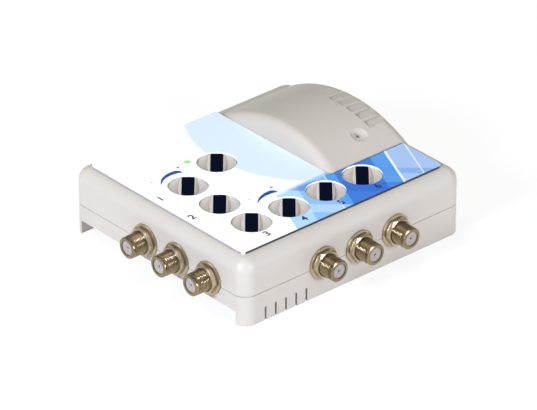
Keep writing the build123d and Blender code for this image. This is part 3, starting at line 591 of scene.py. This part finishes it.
        # Painted shade on the cut sides by the way they face: dark where they face the front, grey where they
        # face left
        facing = tree.nodes.new("ShaderNodeNewGeometry")
        normal = tree.nodes.new("ShaderNodeSeparateXYZ")
        tree.links.new(facing.outputs["Normal"], normal.inputs[0])
        side = math_node(tree, "LESS_THAN", normal.outputs["Z"], self.side_slope)
        leftwards = math_node(tree, "LESS_THAN", normal.outputs["X"], self.left_slope)
        rim_shade = mix_node(tree, leftwards, self.front_edge, self.left_edge)
        outer = math_node(tree, "LESS_THAN", math_node(tree, "MINIMUM", right, back), self.rim_width)
        past_hump = math_node(tree, "MAXIMUM", math_node(tree, "SUBTRACT", right, self.hump_left), 0.0)
        hump_edge = self.band(tree, past_hump, *self.hump_stretch, self.crisp)
        hump_foot = self.band(tree, back, self.hump_front - self.rim_width, hump_back, self.crisp)
        near_hump = math_node(tree, "MULTIPLY", hump_edge, hump_foot)
        rim_place = math_node(tree, "MULTIPLY", side, math_node(tree, "MAXIMUM", outer, near_hump))
        colour = mix_node(tree, side, colour, self.white)
        return mix_node(tree, rim_place, colour, rim_shade)

    def material(self) -> Material:
        """Build the print's material on its first use.

        Returns:
            The material.
        """
        if self.name in bpy.data.materials:
            return bpy.data.materials[self.name]
        material = bpy.data.materials.new(self.name)
        material.use_nodes = True
        tree = material.node_tree
        shader = tree.nodes["Principled BSDF"]
        shader.inputs["Roughness"].default_value = self.roughness
        shader.inputs["Coat Weight"].default_value = self.coat
        shader.inputs["Coat Roughness"].default_value = self.coat_roughness
        x, y, _ = object_axes(tree)
        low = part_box("label")[0]
        right = math_node(tree, "SUBTRACT", x, low.x)
        back = math_node(tree, "SUBTRACT", y, low.y)
        colour = self.band_colour(tree, right, back, self.disc_colour(tree))
        colour = self.edge_colour(tree, right, back, colour)
        grain = tree.nodes.new("ShaderNodeGroup")
        grain.node_tree = grain_group()
        grain.inputs["Grain Scale"].default_value = self.grain_scale
        press_bump(tree, grain, self.bump, self.bump_height)
        tree.links.new(colour, shader.inputs["Base Color"])
        return material


# Mesh tools


def lathe(profile: Sequence[tuple[float, float]], steps: int, closed: bool = True) -> Mesh:
    """Turn an outline about the Z axis.

    Args:
        profile: Radius and height of each point of the outline.
        steps: How many steps the full turn takes.
        closed: Whether the outline's last point joins its first.

    Returns:
        The turned mesh, with its faces pointing outwards.
    """
    mesh = bmesh.new()
    points = [mesh.verts.new((radius, 0.0, height)) for radius, height in profile]
    pairs = list(zip(points, points[1:] + points[:1] if closed else points[1:]))
    lines = [mesh.edges.new(pair) for pair in pairs]
    bmesh.ops.spin(mesh, geom=points + lines, cent=(0, 0, 0), axis=(0, 0, 1), dvec=(0, 0, 0),
                   angle=2 * math.pi, steps=steps, use_merge=True, use_duplicate=False)
    bmesh.ops.remove_doubles(mesh, verts=mesh.verts, dist=WELD_DISTANCE / 2)
    bmesh.ops.recalc_face_normals(mesh, faces=mesh.faces)
    return mesh


def merged(parts: Sequence[Mesh]) -> Mesh:
    """Put several meshes into one.

    Args:
        parts: The meshes, which are freed.

    Returns:
        One mesh that holds them all.
    """
    whole = bmesh.new()
    for part in parts:
        holder = bpy.data.meshes.new("part")
        part.to_mesh(holder)
        part.free()
        whole.from_mesh(holder)
        bpy.data.meshes.remove(holder)
    return whole


def placed_object(name: str, data: bpy.types.ID) -> bpy.types.Object:
    """Put an object into the scene.

    Args:
        name: The object's name.
        data: Its mesh, curve, lamp or camera.

    Returns:
        The object.
    """
    thing = bpy.data.objects.new(name, data)
    bpy.context.scene.collection.objects.link(thing)
    return thing


def finished_piece(name: str, mesh: Mesh, finish: Finish,
                   smooth_angle: float = SHARP_ANGLE) -> bpy.types.Object:
    """Make an object of a mesh, with its finish, and let it ride on the amplifier.

    Args:
        name: The object's name.
        mesh: Its mesh, already in place, which is freed.
        finish: Its finish.
        smooth_angle: The edges flatter than this many degrees are shaded smooth.

    Returns:
        The object.
    """
    data = bpy.data.meshes.new(name)
    mesh.to_mesh(data)
    mesh.free()
    data.materials.append(finish.material())
    piece = placed_object(name, data)
    data.shade_smooth()
    data.set_sharp_from_angle(angle=math.radians(smooth_angle))
    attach(piece, AMPLIFIER)
    LOG.info("made %s with %d faces", name, len(data.polygons))
    return piece


def soften(piece: bpy.types.Object, width: float, segments: int = 2) -> None:
    """Round the sharp edges of a carried-over node without touching its mesh.

    Args:
        piece: The node's object.
        width: The width of the rounding.
        segments: How many strips the rounding has.
    """
    weld = piece.modifiers.new("weld", "WELD")
    weld.merge_threshold = WELD_DISTANCE
    bevel = piece.modifiers.new("soft_edges", "BEVEL")
    bevel.width = width
    bevel.segments = segments
    bevel.limit_method = "ANGLE"
    bevel.angle_limit = math.radians(SHARP_ANGLE)
    bevel.harden_normals = True
    bevel.use_clamp_overlap = True


def dress(node: bpy.types.Object, finish: Finish | LabelPrint) -> None:
    """Give a carried-over node its finish in every slot."""
    node.data.materials.clear()
    node.data.materials.append(finish.material())


@dataclass
class Casing:
    """The two covers and every screw of the box."""

    nodes: Nodes
    screw_rounding: float = 0.15 * MM

    def build(self) -> None:
        """Dress both covers and the screws."""
        for name in ("top_cover", "bottom_cover"):
            dress(self.nodes[name], CASING)
        for name in ("case_screws", "board_screws", "bracket_screws"):
            dress(self.nodes[name], ZINC)
            soften(self.nodes[name], self.screw_rounding)
        LOG.info("dressed the casing")


@dataclass(frozen=True)
class Wedge:
    """A printed gain wedge round one dial, from its thin end to its thick end, in degrees."""

    dial: int
    radius: float
    start: float
    end: float
    width: float = 2.5 * MM
    seed_width: float = 0.1 * MM
    taper: float = 0.16
    swell: float = 0.6
    steps: int = 24
    mark_gap: float = 4.4 * MM
    mark_height: float = 2.2 * MM
    minus_turn: float = 8.0
    plus_turn: float = 4.0


@dataclass
class Label:
    """The printed plate and the small marks on it."""

    nodes: Nodes
    edge_rounding: float = 0.08 * MM
    ink_lift: float = 0.015 * MM
    ink_thickness: float = 0.02 * MM
    ink_weight: float = 0.03
    ink_smooth_angle: float = 20.0
    number_height: float = 3.7 * MM
    letter_scale: float = 1.4
    left_shift: tuple[float, float] = (-15.6 * MM, -1.1 * MM)
    front_shift: tuple[float, float] = (-1.6 * MM, -11.3 * MM)
    left_dials: int = 2
    wedges: tuple[Wedge, ...] = (Wedge(1, 10.9 * MM, 137.0, 61.0), Wedge(4, 13.0 * MM, 126.0, 69.0))

    def build(self) -> None:
        """Dress the plate and print the numbers and gain wedges."""
        dress(self.nodes["label"], LabelPrint())
        soften(self.nodes["label"], self.edge_rounding)
        for number in range(1, OUTPUTS + 1):
            self.print_number(number)
        for wedge in self.wedges:
            self.print_wedge(wedge)
            self.print_marks(wedge)
        LOG.info("dressed the label")

    def dial_centre(self, number: int) -> Vector:
        """Find the point over an output dial's centre, on the plate's top.

        Args:
            number: The output's number.

        Returns:
            The point.
        """
        low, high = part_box(f"output_knob_{number}")
        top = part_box("label")[1].z
        return Vector(((low.x + high.x) / 2, (low.y + high.y) / 2, top))

    def print_text(self, name: str, text: str, centre: Vector, height: float) -> None:
        """Print a short text flat on the plate.

        Args:
            name: The piece's name.
            text: What it says.
            centre: Its centre, on the plate's top.
            height: Its height.
        """
        curve = bpy.data.curves.new(name, "FONT")
        curve.body = text
        curve.size = height * self.letter_scale
        curve.align_x = "CENTER"
        curve.align_y = "CENTER"
        curve.extrude = self.ink_thickness / 2
        curve.offset = self.ink_weight * height
        writing = placed_object(name, curve)
        bpy.context.view_layer.update()
        flat = bpy.data.meshes.new_from_object(writing)
        bpy.data.objects.remove(writing)
        mesh = bmesh.new()
        mesh.from_mesh(flat)
        bpy.data.meshes.remove(flat)
        bmesh.ops.remove_doubles(mesh, verts=mesh.verts, dist=WELD_DISTANCE)
        place = Matrix.Translation(centre + Vector((0, 0, self.ink_lift)))
        bmesh.ops.transform(mesh, matrix=place, verts=mesh.verts)
        finished_piece(name, mesh, INK, self.ink_smooth_angle)

    def print_number(self, number: int) -> None:
        """Print an output's number between its dial and the wall.

        Args:
            number: The output's number.
        """
        shift = self.left_shift if number <= self.left_dials else self.front_shift
        centre = self.dial_centre(number) + Vector((*shift, 0.0))
        self.print_text(f"label_number_{number}", str(number), centre, self.number_height)

    def print_wedge(self, wedge: Wedge) -> None:
        """Print a gain wedge behind a dial, which swells from its thin end to its thick end.

        Args:
            wedge: The wedge's dial and sizes.
        """
        mesh = bmesh.new()
        start, end = math.radians(wedge.start), math.radians(wedge.end)
        inner, outer = wedge.radius, wedge.radius + wedge.seed_width
        first = [mesh.verts.new((reach * math.cos(start), reach * math.sin(start), 0.0))
                 for reach in (inner, outer)]
        strip = mesh.edges.new(first)
        bmesh.ops.spin(mesh, geom=first + [strip], cent=(0, 0, 0), axis=(0, 0, 1), dvec=(0, 0, 0),
                       angle=end - start, steps=wedge.steps, use_merge=False, use_duplicate=False)
        for vertex in mesh.verts:
            reach = vertex.co.length
            share = (start - math.atan2(vertex.co.y, vertex.co.x)) / (start - end)
            if reach > inner + wedge.seed_width / 2:
                taper = min(1.0, max(0.0, 1.0 - share) / wedge.taper)
                growth = wedge.width * math.sqrt(taper) * share * (1.0 + wedge.swell - wedge.swell * share)
                vertex.co *= (outer + growth) / reach
        bmesh.ops.solidify(mesh, geom=mesh.faces, thickness=self.ink_thickness)
        bmesh.ops.recalc_face_normals(mesh, faces=mesh.faces)
        lift = Vector((0, 0, self.ink_lift + self.ink_thickness / 2))
        place = Matrix.Translation(self.dial_centre(wedge.dial) + lift)
        bmesh.ops.transform(mesh, matrix=place, verts=mesh.verts)
        finished_piece(f"label_wedge_{wedge.dial}", mesh, WEDGE_INK)

    def print_marks(self, wedge: Wedge) -> None:
        """Print a minus at a wedge's thin end and a plus at its thick end.

        Args:
            wedge: The wedge's dial and sizes.
        """
        reach = wedge.radius + wedge.mark_gap
        thin, thick = wedge.start - wedge.minus_turn, wedge.end + wedge.plus_turn
        for mark, angle in ((Mark.MINUS, thin), (Mark.PLUS, thick)):
            turn = math.radians(angle)
            place = self.dial_centre(wedge.dial) + Vector((reach * math.cos(turn), reach * math.sin(turn), 0))
            self.print_text(f"label_{mark.name.lower()}_{wedge.dial}", mark.value, place, wedge.mark_height)


@dataclass
class Dials:
    """The seven gain dials with their inlays and potentiometers."""

    nodes: Nodes
    names: tuple[str, ...] = (*(f"output_{{}}_{i}" for i in range(1, OUTPUTS + 1)), "input_{}")
    parts: tuple[tuple[str, Finish, float], ...] = (
        ("knob", DIAL, 0.18 * MM), ("pointer", INLAY, 0.12 * MM), ("potentiometer", POT, 0.2 * MM),
    )

    def build(self) -> None:
        """Dress each dial, its inlay and its potentiometer, and round their edges."""
        for name in self.names:
            for part, finish, rounding in self.parts:
                dress(self.nodes[name.format(part)], finish)
                soften(self.nodes[name.format(part)], rounding)
        LOG.info("dressed %d dials", len(self.names))


@dataclass
class Socket:
    """One coaxial socket: a threaded barrel, its nut and washer, the insulator and its contact hole, with a
    dark disc of painted shade deep in that hole.
    """

    node: str
    side: Side
    reach: float = 10.4 * MM
    wall: float = 2.0 * MM
    turned_steps: int = 96
    barrel_radius: float = 4.76 * MM
    bore_radius: float = 3.25 * MM
    nose_length: float = 1.5 * MM
    nose_rise: tuple[float, float] = (0.1 * MM, 1.3 * MM)
    nose_round: tuple[float, float] = (0.12 * MM, 0.32 * MM)
    end_bevel: float = 0.6 * MM
    end_shoulder: float = 0.25 * MM
    thread_depth: float = 0.22 * MM
    thread_pitch: float = 0.79 * MM
    thread_steps: int = 48
    thread_shares: tuple[float, float, float] = (0.08, 0.26, 0.46)
    thread_start: float = 1.2 * MM
    thread_overrun: float = 1.6 * MM
    crest_drop: float = 0.08 * MM
    root_sink: float = 0.05 * MM
    seat_gap: float = 0.02 * MM
    washer_radius: float = 7.2 * MM
    washer_thickness: float = 1.2 * MM
    washer_clearance: float = 0.2 * MM
    washer_foot: float = 0.25 * MM
    washer_rim: tuple[tuple[float, float], ...] = (
        (0.0, 0.55 * MM), (0.12 * MM, 0.35 * MM), (0.45 * MM, 0.25 * MM),
    )
    washer_hole_bevel: float = 0.1 * MM
    nut_across: float = 11.6 * MM
    nut_thickness: float = 2.2 * MM
    nut_clearance: float = 0.03 * MM
    nut_lead_in: tuple[float, float] = (0.3 * MM, 0.35 * MM)
    nut_face_share: float = 0.985
    nut_face_step: float = 0.1 * MM
    nut_cone_angle: float = 30.0
    insulator_sink: float = 0.5 * MM
    insulator_length: float = 2.5 * MM
    insulator_gap: float = 0.02 * MM
    insulator_edge: tuple[float, float] = (0.2 * MM, 0.15 * MM)
    insulator_crown: tuple[float, float] = (1.5 * MM, 0.06 * MM)
    insulator_steps: int = 64
    hole_radius: float = 0.45 * MM
    hole_funnel: tuple[float, float, float] = (0.35 * MM, 0.05 * MM, 0.3 * MM)
    # Size and place of the dark disc of painted shade deep in the contact hole
    contact_radius: float = 0.46 * MM
    contact_depth: float = 1.6 * MM
    contact_thickness: float = 0.3 * MM
    contact_steps: int = 32

    @property
    def frame(self) -> Matrix:
        """The socket's own place: Z outwards from the wall's outer face, on the barrel's axis."""
        low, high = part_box(self.node)
        middle = (low + high) / 2
        out = self.side.outwards
        up = Vector((0, 0, 1))
        mouth = max(out.dot(low), out.dot(high))
        origin = middle + out * (mouth - out.dot(middle) - self.reach)
        return Matrix.Translation(origin) @ Matrix((up.cross(out), up, out)).transposed().to_4x4()

    def placed(self, mesh: Mesh) -> Mesh:
        """Move a mesh from the socket's own place into the frame.

        Args:
            mesh: The mesh, which is changed.

        Returns:
            The same mesh.
        """
        bmesh.ops.transform(mesh, matrix=self.frame, verts=mesh.verts)
        bmesh.ops.recalc_face_normals(mesh, faces=mesh.faces)
        return mesh

    def barrel(self) -> Mesh:
        """Make the barrel with its bore, its smooth nose and a cut thread.

        Returns:
            The mesh, in the socket's own place.
        """
        radius, end = self.barrel_radius, self.reach
        root = radius - self.thread_depth
        core = lathe((
            (self.bore_radius, -self.wall), (root, -self.wall), (root, end - self.nose_length),
            (radius - self.nose_rise[0], end - self.nose_rise[1]),
            (radius, end - self.end_bevel - self.end_shoulder),
            (radius - self.nose_round[0], end - self.nose_round[1]), (radius - self.end_bevel, end),
            (self.bore_radius, end),
        ), steps=self.turned_steps)
        return merged((core, self.thread()))

    def thread(self) -> Mesh:
        """Make the thread's ridge with its rounded crest, which starts inside the nut.

        Returns:
            The mesh, in the socket's own place.
        """
        root = self.barrel_radius - self.thread_depth - self.root_sink
        start = self.washer_thickness + self.nut_thickness
        turns = int((self.reach - self.nose_length - start + self.thread_overrun) / self.thread_pitch)
        base = start - self.thread_start
        crest, shoulder, foot = (share * self.thread_pitch for share in self.thread_shares)
        shoulder_radius = self.barrel_radius - self.crest_drop
        ridge = bmesh.new()
        outline = [ridge.verts.new((radius, 0.0, base + height)) for radius, height in (
            (root, -foot), (shoulder_radius, -shoulder), (self.barrel_radius, -crest),
            (self.barrel_radius, crest), (shoulder_radius, shoulder), (root, foot))]
        ring = [ridge.edges.new(pair) for pair in zip(outline, outline[1:] + outline[:1])]
        bmesh.ops.spin(ridge, geom=outline + ring, cent=(0, 0, 0), axis=(0, 0, 1),
                       dvec=(0, 0, self.thread_pitch / self.thread_steps), angle=2 * math.pi * turns,
                       steps=self.thread_steps * turns, use_merge=False, use_duplicate=False)
        ends = [edge for edge in ridge.edges if edge.is_boundary]
        bmesh.ops.holes_fill(ridge, edges=ends, sides=len(outline))
        bmesh.ops.recalc_face_normals(ridge, faces=ridge.faces)
        return ridge

    def washer(self) -> Mesh:
        """Make the washer under the nut, slightly dished, with rolled edges.

        Returns:
            The mesh, in the socket's own place.
        """
        low, high = self.seat_gap, self.washer_thickness
        inner, outer = self.barrel_radius + self.washer_clearance, self.washer_radius
        return lathe((
            (inner, low), (outer - self.washer_foot, low), (outer, low + self.washer_foot),
            *((outer - inset, high - drop) for inset, drop in self.washer_rim),
            (inner + self.washer_hole_bevel, high), (inner, high - self.washer_hole_bevel),
        ), steps=self.turned_steps)

    def nut(self) -> Mesh:
        """Make the hexagonal nut, its corners turned down by a cone at both ends.

        Returns:
            The mesh, in the socket's own place.
        """
        half = self.nut_across / 2
        inner = self.barrel_radius + self.nut_clearance
        face_radius = half * self.nut_face_share
        base, top = self.washer_thickness + self.seat_gap, self.washer_thickness + self.nut_thickness
        lower, upper = self.nut_lead_in
        step = self.nut_face_step
        mesh = lathe((
            (inner, base + lower), (inner + lower, base), (face_radius, base), (half, base + step),
            (half, top - step), (face_radius, top), (inner + upper, top), (inner, top - upper),
        ), steps=self.turned_steps)
        for vertex in mesh.verts:
            reach = math.hypot(vertex.co.x, vertex.co.y)
            if reach > (half + face_radius) / 2:
                turn = math.atan2(vertex.co.y, vertex.co.x) % (math.pi / 3) - math.pi / 6
                corner = half / math.cos(turn)
                drop = max(0.0, corner - face_radius) * math.tan(math.radians(self.nut_cone_angle))
                vertex.co.x *= corner / reach
                vertex.co.y *= corner / reach
                vertex.co.z = base + drop if vertex.co.z < (base + top) / 2 else top - drop
        return mesh

    def insulator(self) -> Mesh:
        """Make the white insulator with its dished face and contact hole.

        Returns:
            The mesh, in the socket's own place.
        """
        face = self.reach - self.insulator_sink
        foot = face - self.insulator_length
        hole, side = self.hole_radius, self.bore_radius - self.insulator_gap
        edge_in, edge_down = self.insulator_edge
        crown_radius, crown_rise = self.insulator_crown
        lip, lip_down, throat = self.hole_funnel
        return lathe((
            (hole, foot), (side, foot), (side, face - edge_down), (self.bore_radius - edge_in, face),
            (crown_radius, face + crown_rise), (hole + lip, face - lip_down), (hole, face - throat),
        ), steps=self.insulator_steps)

    def contact_hole(self) -> Mesh:
        """Make a dark disc deep in the insulator's hole, painted shade that stands for the dark gap round the
        contact.

        Returns:
            The mesh, in the socket's own place.
        """
        top = self.reach - self.contact_depth
        foot = top - self.contact_thickness
        return lathe(((0.0, foot), (self.contact_radius, foot), (self.contact_radius, top), (0.0, top)),
                     steps=self.contact_steps, closed=False)


@dataclass
class Sockets:
    """All seven sockets, with one piece for each barrel and one for each set of small parts."""

    nodes: Nodes
    smooth_angle: float = 28.0

    def build(self) -> None:
        """Make the barrels, nuts, washers, insulators and the dark discs of painted shade in the contact
        holes.
        """
        sockets = [Socket(f"tv_connector_{i}", Side.LEFT if i <= LEFT_SOCKETS else Side.FRONT)
                   for i in range(1, OUTPUTS + 1)]
        sockets.append(Socket("antenna_connector", Side.BACK))
        for socket in sockets:
            piece = finished_piece(f"{socket.node}_barrel", socket.placed(socket.barrel()), SHADED_BARREL_NICKEL)
            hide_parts(socket.node)
        for name, make, finish in (
            ("connector_nuts", Socket.nut, NICKEL), ("connector_washers", Socket.washer, NICKEL),
            ("connector_insulators", Socket.insulator, WHITE_INSULATOR),
            # The contacts' piece is a dark disc in each hole: painted shade
            ("connector_contacts", Socket.contact_hole, HOLE_SHADE),
        ):
            whole = merged([socket.placed(make(socket)) for socket in sockets])
            piece = finished_piece(f"{name}_detail", whole, finish, self.smooth_angle)
            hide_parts(name)
        LOG.info("made %d sockets", len(sockets))


@dataclass
class PowerLight:
    """The light pipe's domed end over the label, and the diode under it."""

    nodes: Nodes
    dome_width: float = 0.3 * MM
    dome_segments: int = 4

    def build(self) -> None:
        """Dress the light pipe and the diode."""
        for name in ("light_pipe", "led"):
            dress(self.nodes[name], LIGHT)
        soften(self.nodes["light_pipe"], self.dome_width, self.dome_segments)
        LOG.info("dressed the power light")


@dataclass
class Insides:
    """What the covers hide: board, transformer and power supply."""

    nodes: Nodes
    gland_rounding: float = 0.35 * MM
    gland_segments: int = 3

    def build(self) -> None:
        """Dress every hidden node."""
        for finish, names in (
            (BOARD, ("circuit_board",)), (LAMINATIONS, ("transformer_core",)),
            (BOBBIN, ("transformer_bobbin",)), (PRIMARY, ("primary_winding",)),
            (SECONDARY, ("secondary_winding",)), (ZINC, ("transformer_bracket",)),
            (RUBBER, ("mains_gland",)), (TERMINAL, ("mains_terminal",)), (GLASS, ("fuse",)),
            (CLIP, ("fuse_clips",)), (EPOXY, ("rectifier_diodes", "regulator", "amplifier_chips")),
            (CAN, ("smoothing_capacitor", "filter_capacitors")), (SINK, ("heat_sink",)),
            (TINPLATE, ("shield_can",)), (FERRITE, ("splitter_cores",)),
        ):
            for name in names:
                dress(self.nodes[name], finish)
        soften(self.nodes["mains_gland"], self.gland_rounding, self.gland_segments)
        LOG.info("dressed the insides")


@dataclass(frozen=True)
class Lamp:
    """A soft square lamp: its place, its power in watts, the length of its side and its colour."""

    name: str
    place: tuple[float, float, float]
    power: float
    size: float
    colour: Colour


@dataclass
class Studio:
    """Floor, lamps, world and the camera at the photograph's angle."""

    picture: tuple[int, int] = (537, 410)
    focal_pixels: float = 5018.0
    azimuth: float = -41.32
    elevation: float = 29.87
    depth: float = 2007.2 * MM
    anchor: tuple[float, float, float] = (5.35 * MM, 5.38 * MM, 30.9 * MM)
    anchor_pixel: tuple[float, float] = (244.99, 253.83)
    sensor: float = 36.0
    clip: tuple[float, float] = (0.1, 50.0)
    paper: tuple[float, float, float, float] = (0.97, 0.97, 0.97, 1.0)
    white: tuple[float, float, float, float] = (1.0, 1.0, 1.0, 1.0)
    floor_glow: float = 0.86
    floor_size: float = 6.0
    world_strength: float = 0.28
    lamp_target: tuple[float, float, float] = (0, 0, 0.02)
    lamps: tuple[Lamp, ...] = (
        Lamp("key_lamp", (-1.38, -0.12, 0.75), 29.5, 0.3, (0.78, 0.83, 1.0)),
        Lamp("fill_lamp", (0.15, -1.5, 0.5), 19.2, 0.35, (0.88, 0.89, 1.0)),
        Lamp("top_lamp", (-0.3, 0.4, 1.5), 8.6, 0.9, (1.0, 0.93, 0.8)),
    )

    def aim_camera(self) -> None:
        """Place the camera so that the plate's front left corner falls on its pixel."""
        turn, lift = math.radians(self.azimuth), math.radians(self.elevation)
        look = Vector((-math.sin(turn) * math.cos(lift), math.cos(turn) * math.cos(lift), -math.sin(lift)))
        right = Vector((math.cos(turn), math.sin(turn), 0.0))
        up = right.cross(look)
        width, height = self.picture
        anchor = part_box("bottom_cover")[0] + Vector(self.anchor)
        scale = self.depth / self.focal_pixels
        off_right = (self.anchor_pixel[0] - width / 2) * scale
        off_up = -(self.anchor_pixel[1] - height / 2) * scale
        place = anchor - look * self.depth - right * off_right - up * off_up
        lens = bpy.data.cameras.new("studio_camera")
        lens.sensor_fit = "HORIZONTAL"
        lens.sensor_width = self.sensor
        lens.lens = self.focal_pixels / width * self.sensor
        lens.clip_start, lens.clip_end = self.clip
        camera = placed_object("studio_camera", lens)
        camera.matrix_world = Matrix.Translation(place) @ Matrix((right, up, -look)).transposed().to_4x4()
        bpy.context.scene.camera = camera

    def floor_material(self) -> Material:
        """Build a floor that looks white to the camera and in reflections, and keeps a soft shadow.

        Returns:
            The floor's material.
        """
        material = bpy.data.materials.new("studio_floor")
        material.use_nodes = True
        tree = material.node_tree
        tree.nodes.remove(tree.nodes["Principled BSDF"])
        paper = tree.nodes.new("ShaderNodeBsdfDiffuse")
        paper.inputs["Color"].default_value = self.paper
        glow = tree.nodes.new("ShaderNodeEmission")
        glow.inputs["Color"].default_value = self.white
        rays = tree.nodes.new("ShaderNodeLightPath")
        mirrored = math_node(tree, "ADD", rays.outputs["Is Glossy Ray"], rays.outputs["Is Transmission Ray"])
        looked = math_node(tree, "ADD", rays.outputs["Is Camera Ray"], mirrored, clamp=True)
        seen = math_node(tree, "MULTIPLY", looked, self.floor_glow)
        mixed = tree.nodes.new("ShaderNodeMixShader")
        tree.links.new(seen, mixed.inputs[0])
        tree.links.new(paper.outputs[0], mixed.inputs[1])
        tree.links.new(glow.outputs[0], mixed.inputs[2])
        tree.links.new(mixed.outputs[0], tree.nodes["Material Output"].inputs[0])
        return material

    def lay_floor(self) -> None:
        """Lay the floor under the object."""
        mesh = bmesh.new()
        bmesh.ops.create_grid(mesh, x_segments=1, y_segments=1, size=self.floor_size)
        data = bpy.data.meshes.new("studio_floor")
        mesh.to_mesh(data)
        mesh.free()
        data.materials.append(self.floor_material())
        placed_object("studio_floor", data)

    def hang_lamp(self, lamp: Lamp) -> None:
        """Hang a lamp that looks at the object.

        Args:
            lamp: The lamp's place, power, size and colour.
        """
        light = bpy.data.lights.new(lamp.name, "AREA")
        light.energy = lamp.power
        light.size = lamp.size
        light.color = lamp.colour
        hung = placed_object(lamp.name, light)
        hung.location = lamp.place
        look = Vector(self.lamp_target) - Vector(lamp.place)
        hung.rotation_euler = look.to_track_quat("-Z", "Y").to_euler()

    def build(self) -> None:
        """Set the camera, floor, lamps and world."""
        self.aim_camera()
        self.lay_floor()
        for lamp in self.lamps:
            self.hang_lamp(lamp)
        world = bpy.data.worlds.new("studio_world")
        world.use_nodes = True
        backdrop = world.node_tree.nodes["Background"]
        backdrop.inputs["Color"].default_value = self.paper
        backdrop.inputs["Strength"].default_value = self.world_strength
        bpy.context.scene.world = world
        bpy.context.scene.view_settings.view_transform = "Standard"
        LOG.info("set up the studio")


def main() -> None:
    """Build the amplifier's looks on its frame, then the studio round it."""
    logging.basicConfig(level=logging.INFO, format="%(name)s: %(message)s")
    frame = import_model()
    nodes = frame["nodes"]
    Casing(nodes).build()
    Label(nodes).build()
    Dials(nodes).build()
    Sockets(nodes).build()
    PowerLight(nodes).build()
    Insides(nodes).build()
    Studio().build()


if __name__ == "__main__":
    main()
